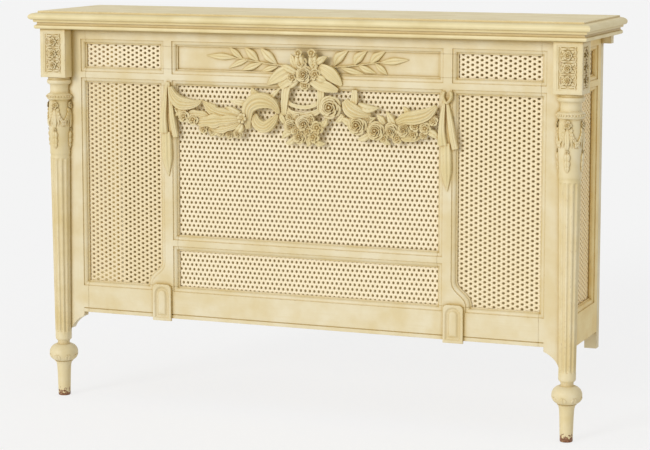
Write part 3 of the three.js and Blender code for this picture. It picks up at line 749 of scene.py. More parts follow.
@dataclass
class CaneSheet:
    """A sheet woven three ways, its holes in staggered rows.

    One strand runs between each two rows of holes, and two more cross it on the slant. Each goes
    over one of the others and under the next.
    """

    LIE = "lie"  # attribute: how high a strand lies, from 0 in the depth to 1 on top

    node: str
    layout: Layout
    face: Face
    across: bool  # the rows of holes run across the sheet
    pitch: float = 11.5
    row: float = 11.35
    width: float = 5.2
    thick: float = 1.15
    wave: float = 0.55
    hides: tuple[float, float, float, float] | None = None  # the spread foot of a pilaster

    def strand(self, start: Place, end: Place, heights: Sequence[float]) -> bpy.types.Object:
        """Draws a flat-backed, round-faced strand out through its waves.

        Args:
            start: where it starts on the sheet.
            end: where it ends.
            heights: how high it lies, as a share of the wave, at each step.

        Returns:
            The strand.
        """
        run = Vector(end) - Vector(start)
        bpy.ops.mesh.primitive_circle_add(vertices=4, radius=1, rotation=(math.pi / 2, 0, 0))
        piece = started("strand")
        settle(piece)
        half, crown = self.width / 2, 0.5 * self.width / 2
        corners = ((half, 0), (crown, self.thick), (-crown, self.thick), (-half, 0))
        ordered = sorted(piece.data.vertices, key=lambda v: math.atan2(v.co.z, v.co.x))
        for vertex, (off, high) in zip(ordered, (corners[3], corners[0], corners[1], corners[2])):
            vertex.co = (off, 0, high + heights[0] * self.wave)
        with edited(piece, "VERT"):
            bpy.ops.mesh.select_all(action="SELECT")
            for low, high in zip(heights, heights[1:]):
                step = (0, run.length / (len(heights) - 1), (high - low) * self.wave)
                bpy.ops.mesh.extrude_region_move(TRANSFORM_OT_translate={"value": step})
        turn = math.atan2(-run.x, run.y)
        settle(piece, Matrix.Translation((*start, 0)) @ Matrix.Rotation(turn, 4, "Z"))
        return piece

    def weave(self, columns: int, rows: int) -> bpy.types.Object:
        """Weaves one double cell and repeats it both ways."""
        p, r = self.pitch, self.row
        strands = [
            self.strand((p / 4, r / 2), (p * 5 / 4, r / 2), (-1, 1, -1)),
            self.strand((p / 4, r * 3 / 2), (p * 5 / 4, r * 3 / 2), (1, -1, 1)),
            self.strand((p / 2, 0), (p * 3 / 2, 2 * r), (1, -1, 1, -1, 1)),
            self.strand((p / 2, 0), (-p / 2, 2 * r), (-1, 1, -1, 1, -1)),
        ]
        cell = joined("woven_" + self.node, strands)
        for count, offset in ((columns, (p, 0, 0)), (rows, (0, 2 * r, 0))):
            finish_with(
                cell,
                "ARRAY",
                count=count,
                use_relative_offset=False,
                use_constant_offset=True,
                constant_offset_displace=offset,
                use_merge_vertices=True,
                merge_threshold=0.01,
            )
        return cell

    def build(self) -> None:
        """Weaves the sheet, cuts it to its panel and dresses it."""
        low, high = self.corners()
        wide, tall = high[0] - low[0], high[1] - low[1]
        span, rise = (wide, tall) if self.across else (tall, wide)
        columns = math.ceil(span / self.pitch) + 2
        rows = math.ceil(rise / (2 * self.row)) + 1
        sheet = self.weave(columns, rows)
        middle = Vector((columns * self.pitch / 2 + self.pitch / 4, rows * self.row, 0))
        turn = Matrix.Identity(4) if self.across else Matrix.Rotation(math.pi / 2, 4, "Z")
        centre = Vector(((low[0] + high[0]) / 2, (low[1] + high[1]) / 2, 0))
        settle(sheet, Matrix.Translation(centre) @ turn @ Matrix.Translation(-middle))
        with edited(sheet) as mesh:
            pick(mesh, lambda face: self.spare(face.calc_center_median(), low, high))
            bpy.ops.mesh.delete(type="FACE")
        lie = sheet.data.attributes.new(self.LIE, "FLOAT", "POINT")
        depth = self.thick + 2 * self.wave
        lie.data.foreach_set("value", [(v.co.z + self.wave) / depth for v in sheet.data.vertices])
        back = self.depth() - self.wave - self.thick
        settle(sheet, self.layout.elevation(self.face) @ Matrix.Translation((0, 0, back)))
        softened(sheet, 60)
        # Some sheets take a copy of the cane's colours made lighter or darker, as painted light and shade.
        dress(sheet, CANE_PAINTED_LIGHT_AND_SHADE.get(self.node, PaintedCane()), self.node)

    def depth(self) -> float:
        """How far behind its face the front of the sheet lies, as a height out of the face."""
        low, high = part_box(self.node)
        if self.face is Face.FRONT:
            return self.layout.y_frame - low.y / MM
        outer = high.x if self.face is Face.RIGHT_END else -low.x
        return outer / MM - self.layout.frame_half

    def corners(self) -> tuple[Place, Place]:
        """The sheet's lowest and highest corner, in its elevation."""
        low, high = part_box(self.node)
        if self.face is Face.FRONT:
            return (low.x / MM, low.z / MM), (high.x / MM, high.z / MM)
        near, far = (corner.y / MM - self.layout.y_block for corner in (low, high))
        across = (near, far) if self.face is Face.RIGHT_END else (-far, -near)
        return (across[0], low.z / MM), (across[1], high.z / MM)

    def spare(self, place: Vector, low: Place, high: Place) -> bool:
        """Whether a face of the weave lies outside the panel."""
        inside = low[0] < place.x < high[0] and low[1] < place.y < high[1]
        if not inside or self.hides is None:
            return not inside
        inner, reach, foot, top = self.hides
        share = min(1.0, max(0.0, (top - place.y) / (top - foot)))
        spread = reach * share * share * (3 - 2 * share)
        return abs(place.x) < inner + spread


# Painted light and shade: the bays are painted darker, the left one most, as painted shade, and the sheets in
# the ends lighter and yellower, as painted light.
CANE_PAINTED_LIGHT_AND_SHADE = {
    "cane_bay_left": PaintedCane(high="F3E2BC", mid="E0CC9A"),
    "cane_bay_right": PaintedCane(high="F8E9C6", mid="E8D5A6"),
    **{node: PaintedCane(high="FFE9B6", mid="F4D698") for node in (
        "end_cane_left", "end_cane_right", "end_frieze_left", "end_frieze_right",
    )},
}


# ---------- Carving ----------


class Relief(Enum):
    """How a carved strip rises across its width, as multiples of half that width.

    Each value is the swell of the whole strip, the depth of its midrib, the depth of its ribs and
    how many ribs there are.
    """

    LEAF = (0.34, 0.24, 0.04, 3.0)
    RIBBED = (0.30, 0.06, 0.10, 4.0)
    RIBBON = (-0.10, 0.0, 0.07, 3.0)
    FOLD = (0.42, 0.0, 0.10, 2.5)
    STEM = (0.90, 0.25, 0.0, 1.0)

    @property
    def facets(self) -> int:
        """How many facets it takes across to show every rib."""
        return 8 + 4 * int(self.value[3])

    def rise(self, v: float) -> float:
        """How high the strip stands at a share across it, from -1 to 1."""
        swell, midrib, rib, count = self.value
        dome = swell * math.sqrt(max(0.0, 1 - v * v))
        groove = midrib * math.exp(-((v / 0.17) ** 2))
        return dome - groove + rib * math.cos(math.tau * count * v / 2) * (1 - 0.4 * v * v)


@dataclass(frozen=True)
class Stroke:
    """One leaf, ribbon or fold: a strip that follows a spine, down to a flat back.

    The spine's points are x, height, how far the strip's edges stand out, and half its width.
    """

    relief: Relief
    spine: tuple[Place, ...]
    lobes: int = 0  # notches along each edge
    veins: int = 0  # side veins, which sweep forward from the midrib
    steps: int = 26

    def carved(self, back: float) -> bpy.types.Object:
        """Carves the strip.

        Args:
            back: how far out its flat back lies.

        Returns:
            The closed strip.
        """

        def shape(u: float, v: float) -> tuple[float, float, float]:
            here = along_curve(self.spine, u)
            ahead = along_curve(self.spine, min(1.0, u + 0.01)) - along_curve(self.spine, max(0.0, u - 0.01))
            side = Vector((ahead.y, -ahead.x)).normalized()
            notch = 0.3 * abs(math.cos(math.pi * self.lobes * u)) ** 3 * bool(self.lobes)
            half = max(0.25, here[3]) * (1 - notch)
            vein = 0.035 * min(1.0, self.veins) * math.cos(math.tau * (self.veins * u - 1.3 * abs(v)))
            rise = half * (self.relief.rise(v) + vein * (1 - v * v))
            return here.x + side.x * half * v, here.y + side.y * half * v, max(back + 0.2, here.z) + rise

        facets = min(self.relief.facets, self.steps)
        strip = bent_sheet(self.relief.name.lower(), shape, self.steps, facets, 1)
        points = strip.data.vertices
        half = len(points) // 2
        for front, rear in zip(points[:half], points[half:]):
            rear.co = (front.co.x, front.co.y, back)
        closed_outwards(strip, 1e-3)
        return strip


@dataclass(frozen=True)
class Bloom:
    """Rings of cupped petals round a bud, one unit in radius, facing up the z axis.

    Each ring is its count of petals, how far in and out they reach, how high they start and end,
    half the angle that each covers, and how far it is turned.
    """

    rings: tuple[Place, ...]
    bud: float  # radius of the bud
    bud_top: float
    dome: float  # height of the mass under the petals
    curl: float = 0.10  # how far a petal's rim turns back

    def petal(self, ring: Place) -> bpy.types.Object:
        """Carves one petal of a ring."""
        _, near, far, low, high, spread, _ = ring

        def shape(u: float, v: float) -> tuple[float, float, float]:
            rim = 1 - 0.22 * abs(v) ** 3
            radius = near + (far - near) * (u**0.9) * rim
            angle = math.radians(spread) * v * (1 - 0.15 * u)
            cup = 0.16 * (far - near) * v * v
            turned = self.curl * max(0.0, u - 0.72) / 0.28
            height = low + (high - low) * math.sin(u * math.pi * 0.5) + cup - turned * (1 - 0.4 * v * v)
            height += 0.07 * v + 0.015 * math.sin(9 * v + 5 * u)
            return radius * math.cos(angle), radius * math.sin(angle), height

        return bent_sheet("petal", shape, 7, 9, 0.07)

    def carved(self) -> bpy.types.Object:
        """Carves the bloom."""
        pieces = []
        for ring in self.rings:
            petal = self.petal(ring)
            count = int(ring[0])
            for i in range(count):
                turn = math.radians(ring[6]) + i * math.tau / count
                pieces.append(copy_of(petal, Matrix.Rotation(turn, 4, "Z")))
            dropped(petal)
        angles = [i * math.pi / 12 for i in range(7)]
        mass = [(0.86 * math.cos(a), self.dome * math.sin(a)) for a in angles[:-1]]
        pieces.append(spun("mass", [(0, -0.12), (0.8, -0.12), *mass, (0, self.dome)], 24))
        low = self.bud_top - 1.5 * self.bud
        core = [(self.bud * math.cos(a), low + 1.5 * self.bud * math.sin(a)) for a in angles[:-1]]
        pieces.append(spun("bud", [(0, low - 0.1), *core, (0, self.bud_top)], 14))
        bloom = joined("bloom", pieces)
        closed_outwards(bloom, 1e-4)
        return bloom


ROSE = Bloom(
    rings=(
        (5, 0.40, 1.00, 0.18, 0.36, 50, 0),
        (5, 0.28, 0.78, 0.26, 0.54, 50, 36),
        (4, 0.20, 0.55, 0.34, 0.66, 58, 10),
        (3, 0.12, 0.35, 0.44, 0.74, 74, 50),
    ),
    bud=0.15,
    bud_top=0.74,
    dome=0.34,
)
FLOWER = Bloom(
    rings=((5, 0.22, 1.00, 0.22, 0.46, 41, 0), (5, 0.14, 0.60, 0.34, 0.62, 40, 36)),
    bud=0.20,
    bud_top=0.62,
    dome=0.30,
    curl=0.14,
)
BUD = Bloom(rings=((5, 0.10, 0.96, 0.30, 0.74, 46, 0),), bud=0.30, bud_top=0.98, dome=0.62, curl=0.02)
DAISY = Bloom(rings=((6, 0.20, 1.00, 0.24, 0.34, 29, 0),), bud=0.26, bud_top=0.52, dome=0.16, curl=0.06)


@dataclass
class Carving:
    """A carved ornament: blooms and strokes on one flat back."""

    strokes: tuple[Stroke, ...] = ()
    blooms: tuple[tuple[Bloom, tuple[Place, ...]], ...] = ()  # x, height, out and radius of each
    back: float = 0.3
    seed: int = 1
    lean: float = 12.0  # how far a bloom may tilt

    def carved(self, name: str) -> bpy.types.Object:
        """Carves the ornament flat, in its elevation."""
        chance = random.Random(self.seed)
        pieces = [stroke.carved(self.back) for stroke in self.strokes]
        for bloom, places in self.blooms:
            pattern = bloom.carved()
            for x, height, out, radius in places:
                tilt_x, tilt_y = (math.radians(chance.uniform(-self.lean, self.lean)) for _ in range(2))
                turn = Matrix.Rotation(tilt_x, 4, "X") @ Matrix.Rotation(tilt_y, 4, "Y")
                turn @= Matrix.Rotation(chance.uniform(0, math.tau), 4, "Z")
                matrix = Matrix.Translation((x, height, out)) @ turn @ Matrix.Scale(radius, 4)
                pieces.append(copy_of(pattern, matrix))
            dropped(pattern)
        return joined(name, pieces)


def leaf(*spine: Place, lobes: int = 0, veins: int = 0) -> Stroke:
    """A leaf with a midrib."""
    return Stroke(Relief.LEAF, spine, lobes, veins)


def sprig(*spine: Place) -> Stroke:
    """A leaf too small for much detail."""
    return Stroke(Relief.LEAF, spine, steps=10)


def ribbed(*spine: Place, lobes: int = 0) -> Stroke:
    """A leaf or shell with ribs along it."""
    return Stroke(Relief.RIBBED, spine, lobes)


def ribbon(*spine: Place) -> Stroke:
    """A flat ribbon."""
    return Stroke(Relief.RIBBON, spine)


def fold(*spine: Place) -> Stroke:
    """A rounded fold of cloth."""
    return Stroke(Relief.FOLD, spine)


def stem(*spine: Place) -> Stroke:
    """A stalk with a groove along it."""
    return Stroke(Relief.STEM, spine)


LAUREL_BACK = -12.7  # the laurel lies on the sunk panel of the frieze

LAUREL_LEFT = Carving(
    strokes=(
        stem((-46, 843, -9, 1.7), (-98, 848, -9.2, 1.6), (-145, 855, -9.5, 1.6), (-187, 860, -10.2, 1.3)),
        leaf((-180, 860, -10.5, 1.2), (-216, 862, -9, 7.6), (-258, 863, -11.5, 0.3)),
        leaf((-163, 857, -10.5, 1.2), (-180, 871, -8.5, 7.2), (-197, 885, -10, 0.4)),
        leaf((-121, 852, -10.5, 1.2), (-138, 869, -8, 10.2), (-158, 886, -10, 0.6)),
        leaf((-73, 846, -10.5, 1.2), (-95, 866, -8, 11), (-117, 886, -10, 0.6)),
        leaf((-149, 855, -10.5, 1.2), (-171, 848, -9, 6.4), (-199, 834, -11.5, 0.4)),
        leaf((-113, 849, -10.5, 1.2), (-138, 840, -8.5, 7.8), (-166, 829, -11.5, 0.4)),
        leaf((-70, 843, -10.5, 1.2), (-92, 836, -9, 6.8), (-116, 828, -11.5, 0.4)),
    ),
    back=LAUREL_BACK,
)
LAUREL_RIGHT = Carving(
    strokes=(
        stem((44, 842, -9, 1.7), (94, 846, -9.2, 1.6), (143, 852, -9.5, 1.6), (189, 859, -10.2, 1.3)),
        leaf((187, 858, -10.5, 1.3), (222, 862, -9, 8), (259, 866, -11.5, 0.3)),
        leaf((163, 855, -10.5, 1.3), (178, 871, -8.5, 9.6), (201, 885, -10, 0.5)),
        leaf((123, 850, -10.5, 1.3), (133, 868, -8, 11), (155, 885, -10, 0.8)),
        leaf((72, 846, -10.5, 1.3), (84, 867, -8, 11.5), (108, 885, -10, 0.8)),
        leaf((176, 855, -10.5, 1.3), (191, 843, -9, 7.4), (206, 829, -11.5, 0.5)),
        leaf((134, 850, -10.5, 1.3), (153, 841, -8.5, 7.6), (178, 832, -11.5, 0.5)),
        leaf((88, 844, -10.5, 1.3), (118, 836, -9, 7), (150, 829, -11.5, 0.5)),
    ),
    back=LAUREL_BACK,
)
BOUQUET = Carving(
    strokes=(
        leaf((-4, 836, 6, 8), (-9, 862, 10, 11), (-12, 880, 5, 5), veins=6),
        leaf((-20, 838, 4, 6), (-26, 858, 6, 8), (-33, 874, 3, 0.6), veins=5),
        leaf((29, 837, 6, 8), (26, 862, 10, 11), (24, 880, 5, 5), veins=6),
        ribbon((38, 846, 6, 9), (66, 832, 10, 15), (84, 816, 8, 11), (96, 803, 3, 3)),
        ribbon((40, 834, 4, 6), (58, 818, 7, 8), (72, 806, 3, 3)),
        ribbon((14, 820, 7, 11), (44, 804, 10, 14), (66, 797, 9, 12), (86, 790, 3, 5)),
        ribbon((-22, 842, 6, 9), (-50, 828, 10, 15), (-72, 814, 8, 12), (-92, 799, 3, 2)),
        ribbon((-18, 826, 8, 9), (-42, 810, 10, 13), (-62, 796, 5, 9)),
        leaf((-18, 830, 8, 6), (-38, 840, 10, 8), (-58, 846, 4, 0.8), veins=5),
        leaf((30, 852, 7, 6), (46, 862, 9, 8), (60, 870, 3, 0.7), veins=5),
        leaf((34, 822, 8, 5), (50, 816, 10, 8), (62, 806, 4, 0.8), veins=5),
        leaf((-14, 812, 6, 5), (-28, 802, 8, 8), (-36, 791, 4, 0.8), veins=5),
    ),
    blooms=(
        (ROSE, ((4, 826, 3, 22),)),
        (BUD, ((-10, 877, 7, 10), (23, 877, 7, 10))),
        (FLOWER, ((-4, 854, 4, 15), (28, 855, 4, 14), (-27, 819, 3, 15), (31, 828, 4, 15), (5, 800, 4, 13))),
    ),
    seed=3,
)
PENDANT = Carving(
    strokes=(
        ribbon((-42, 800, 6, 10), (-46, 779, 8, 9), (-48, 752, 8, 8), (-50, 728, 5, 6)),
        ribbon((44, 800, 6, 9), (45, 780, 8, 8.4), (44, 762, 8, 8), (42, 744, 6, 7)),
        ribbon((-45, 771, 3, 3.6), (-34, 755, 5, 4), (1, 748, 7, 4.6), (32, 756, 6, 4.2), (42, 772, 3, 3.6)),
        ribbon((-46, 748, 4, 5), (-31, 734, 7, 6.4), (3, 729, 9, 7.4), (34, 738, 7, 6.4), (44, 750, 4, 5)),
        leaf((-28, 692, 6, 7), (-44, 684, 7, 8), (-56, 671, 3, 0.7), veins=5),
        leaf((28, 670, 6, 6), (42, 663, 6, 7), (55, 664, 3, 0.7), veins=5),
        leaf((10, 676, 6, 6), (14, 663, 6, 6.4), (9, 655, 3, 0.9)),
        leaf((46, 704, 6, 6), (55, 714, 6, 7), (61, 728, 3, 0.7), veins=5),
        leaf((-46, 710, 6, 6), (-55, 722, 6, 7), (-59, 736, 3, 0.7), veins=5),
        leaf((-22, 674, 6, 6), (-34, 664, 6, 7), (-46, 661, 3, 0.7), veins=5),
    ),
    blooms=(
        (ROSE, ((2, 710, 4, 21), (-31, 703, 3, 18), (-8, 677, 3, 18))),
        (FLOWER, ((36, 702, 4, 17), (28, 680, 3, 16), (14, 694, 6, 14), (-17, 692, 7, 13), (-34, 724, 4, 11),
                  (20, 722, 6, 12), (-14, 724, 5, 10))),
    ),
    seed=5,
)
GARLAND_LEFT = Carving(
    strokes=(
        ribbed((-347, 786, 9, 5), (-339, 765, 11, 11), (-320, 749, 13, 15.5), (-294, 746, 12, 12.5),
               (-274, 750, 8, 6.5), (-264, 757, 4, 1.2)),
        ribbed((-165, 722, 7, 6), (-208, 726, 10, 14), (-236, 735, 9, 14), (-265, 756, 3, 1.2), lobes=2),
        ribbed((-166, 714, 11, 8), (-208, 710, 14, 16), (-248, 706, 12, 17), (-286, 702, 5, 4), lobes=3),
        ribbed((-164, 706, 9, 7), (-194, 694, 12, 13), (-226, 690, 10, 12), (-254, 684, 4, 2), lobes=3),
        leaf((-158, 703, 8, 6), (-166, 688, 10, 9), (-188, 675, 3, 1.6), veins=5),
        ribbed((-244, 716, 8, 8), (-272, 722, 10, 12), (-300, 718, 8, 10), (-326, 706, 4, 2), lobes=3),
        leaf((-300, 734, 7, 6), (-318, 729, 9, 9), (-336, 715, 4, 1), veins=5),
        leaf((-164, 727, 6, 5), (-186, 736, 8, 7), (-204, 742, 3, 0.8), veins=5),
        leaf((-142, 750, 5, 6), (-168, 754, 7, 6.4), (-191, 757, 3, 0.8), veins=6),
        ribbed((-142, 692, 6, 6), (-143, 720, 10, 12), (-138, 743, 13, 16), (-121, 758, 14, 19),
               (-97, 761, 14, 18), (-75, 752, 12, 12), (-62, 731, 6, 4)),
        ribbed((-112, 756, 9, 15), (-122, 771, 11, 11), (-134, 790, 5, 2)),
        ribbed((-128, 726, 5, 8), (-118, 706, 9, 13), (-98, 698, 11, 14), (-79, 711, 10, 11),
               (-66, 729, 6, 4)),
        leaf((-84, 766, 8, 6), (-72, 780, 8, 5), (-57, 794, 3, 1), veins=4),
        leaf((-212, 694, 6, 5), (-226, 679, 8, 6), (-244, 670, 3, 0.8)),
    ),
    blooms=(
        (FLOWER, ((-308, 716, 6, 16), (-284, 709, 8, 15), (-326, 733, 4, 10), (-258, 688, 3, 13))),
        (ROSE, ((-213, 681, 3, 13), (-190, 677, 3, 12), (-168, 680, 4, 13), (-236, 683, 3, 11))),
        (DAISY, ((-154, 717, 13, 12.5),)),
    ),
    seed=7,
)
GARLAND_RIGHT = Carving(
    strokes=(
        ribbon((129, 793, 5, 6), (129, 774, 9, 8), (127, 754, 12, 10)),
        ribbed((105, 768, 7, 8), (120, 750, 13, 17), (144, 738, 12, 15), (170, 735, 5, 5)),
        leaf((140, 757, 9, 8), (164, 750, 9, 10), (190, 753, 4, 0.9), veins=6),
        leaf((126, 712, 7, 6), (112, 719, 9, 9), (92, 727, 4, 0.9), veins=6),
        leaf((228, 712, 7, 8), (220, 729, 9, 8), (208, 746, 4, 0.9), veins=5),
        ribbed((234, 720, 7, 7), (258, 731, 12, 14), (285, 735, 13, 16.5), (311, 744, 11, 14),
               (331, 762, 7, 5)),
        leaf((265, 738, 8, 8), (258, 750, 8, 6), (250, 758, 4, 0.9), veins=4),
        ribbed((246, 692, 8, 9), (268, 684, 8, 10), (294, 688, 4, 2), lobes=2),
        leaf((312, 704, 7, 7), (328, 696, 7, 8), (343, 683, 3, 0.8), veins=5),
        leaf((166, 690, 7, 6), (152, 681, 7, 8), (136, 677, 3, 0.8), veins=5),
        leaf((204, 716, 5, 6), (196, 727, 7, 7), (184, 737, 3, 0.8), veins=5),
        leaf((164, 712, 5, 6), (170, 724, 7, 7), (182, 730, 3, 0.8), veins=5),
        leaf((200, 684, 5, 6), (208, 675, 7, 7), (220, 668, 3, 0.8), veins=5),
        leaf((100, 734, 5, 6), (92, 722, 6, 7), (80, 716, 3, 0.8), veins=5),
    ),
    blooms=(
        (ROSE, ((70, 751, 2, 28), (138, 712, 3, 25), (184, 699, 3, 23), (223, 703, 3, 19),
                (253, 704, 4, 18))),
        (FLOWER, ((281, 714, 5, 14), (306, 711, 5, 15), (326, 727, 5, 12), (276, 694, 3, 13),
                  (237, 684, 3, 14), (163, 726, 5, 10), (203, 684, 4, 12), (300, 694, 3, 10))),
    ),
    seed=11,
)
DRAPERY_LEFT = Carving(
    strokes=(
        fold((-360, 676, 2, 12), (-359, 641, 3, 12.5), (-358, 607, 3, 11.5), (-355, 568, 1.5, 0.8)),
        fold((-361, 650, 6, 3.6), (-359, 612, 6, 4), (-356, 585, 3, 2)),
        fold((-357, 797, 5, 2.6), (-361, 755, 7, 5), (-366, 712, 8, 8.5), (-367, 674, 6, 12)),
        fold((-353, 797, 5, 2.6), (-347, 752, 6, 5), (-342, 706, 7, 7), (-335, 664, 5, 6.6)),
        ribbon((-354, 770, 2, 3), (-352, 716, 2, 6), (-345, 667, 2, 6)),
    ),
)
DRAPERY_RIGHT = Carving(
    strokes=(
        fold((354, 677, 2, 12), (355, 641, 3, 12.5), (356, 607, 3, 11.5), (358, 565, 1.5, 0.8)),
        fold((353, 650, 6, 3.6), (356, 610, 6, 4), (358, 585, 3, 2)),
        fold((351, 774, 5, 3), (347, 741, 7, 6), (345, 706, 8, 8), (347, 672, 6, 12)),
        fold((358, 770, 5, 3), (365, 731, 7, 6), (371, 694, 7, 7), (377, 664, 5, 7)),
        stem((350, 797, 6, 3), (348, 784, 7, 3), (357, 771, 8, 3), (367, 783, 7, 3), (366, 797, 6, 3)),
        ribbon((357, 768, 2, 3), (359, 716, 2, 6), (364, 668, 2, 6)),
    ),
)


@dataclass
class Ornaments:
    """The carvings on the front, each in place of its CAD node."""

    layout: Layout
    by_node: dict[str, Carving] = field(
        default_factory=lambda: {
            "laurel_left": LAUREL_LEFT,
            "laurel_right": LAUREL_RIGHT,
            "bouquet": BOUQUET,
            "pendant": PENDANT,
            "garland_left": GARLAND_LEFT,
            "garland_right": GARLAND_RIGHT,
            "drapery_left": DRAPERY_LEFT,
            "drapery_right": DRAPERY_RIGHT,
        }
    )

    def build(self) -> None:
        """Carves, places and dresses them."""
        for node, carving in self.by_node.items():
            piece = carving.carved("carved_" + node)
            settle(piece, self.layout.elevation(Face.FRONT))
            softened(piece, 50)
            dress(piece, CARVED_PAINT, node)


@dataclass
class Plinth:
    """The raised block on a pilaster's foot: a rounded tongue in an arched hollow."""

    layout: Layout
    hand: str
    side: int
    low: float = 209.0
    high: float = 299.0
    middle: float = 375.5
    half: float = 24.5
    proud: float = 7.0
    rim: float = 5.0
    hollow: float = 11.5
    corner: float = 11.0  # radius of the two upper corners
    foot_rim: float = 6.0
    groove: float = 3.2  # depth of the hollow
    sunk: float = 0.2  # how far the tongue's edge lies below the rim
    swell: float = 0.5  # how far the tongue rises from there
    shoulder: float = 2.5  # width over which it rises
    arris: float = 0.9  # width of the chamfer at the block's edges
    fall: float = 0.7  # and its depth

    def relief(self, x: float, y: float) -> float:
        """How high the block stands at a place on it, x from its middle and y from its foot."""
        spring = self.high - self.low - self.half
        arch = math.hypot(x, y - spring) if y > spring else abs(x)
        edge = min(self.half - self.rim - arch, y - self.foot_rim)  # from the hollow's rim inwards
        if edge <= 0:
            return self.proud
        tongue = edge - self.hollow
        if tongue < 0:
            return self.proud - self.groove * math.sin(math.pi * min(1.0, edge / self.hollow))
        return self.proud - self.sunk + self.swell * min(1.0, tongue / self.shoulder)

    def build(self) -> None:
        """Carves, places and dresses the block."""
        wide, tall = 2 * self.half, self.high - self.low

        def shape(u: float, v: float) -> tuple[float, float, float]:
            x, y = v * self.half, u * tall
            sharp = min(self.half - abs(x), tall - y, y)
            out = self.relief(x, y) - self.fall * max(0.0, 1 - sharp / self.arris)
            over, above = abs(x) - self.half + self.corner, y - tall + self.corner
            if over > 0 and above > 0:
                pull = max(over, above) / math.hypot(over, above)
                x = math.copysign(self.half - self.corner + over * pull, x)
                y = tall - self.corner + above * pull
            return x + self.side * self.middle, self.low + y, out

        block = bent_sheet("plinth_block_" + self.hand, shape, round(tall), round(wide), 1)
        points = block.data.vertices
        count = len(points) // 2
        for front, rear in zip(points[:count], points[count:]):
            rear.co = (front.co.x, front.co.y, 0)
        closed_outwards(block)
        settle(block, self.layout.elevation(Face.FRONT))
        softened(block, 40)
        dress(block, GlazedPaint("cream_paint"), "plinth_" + self.hand)


# ---------- Front posts ----------


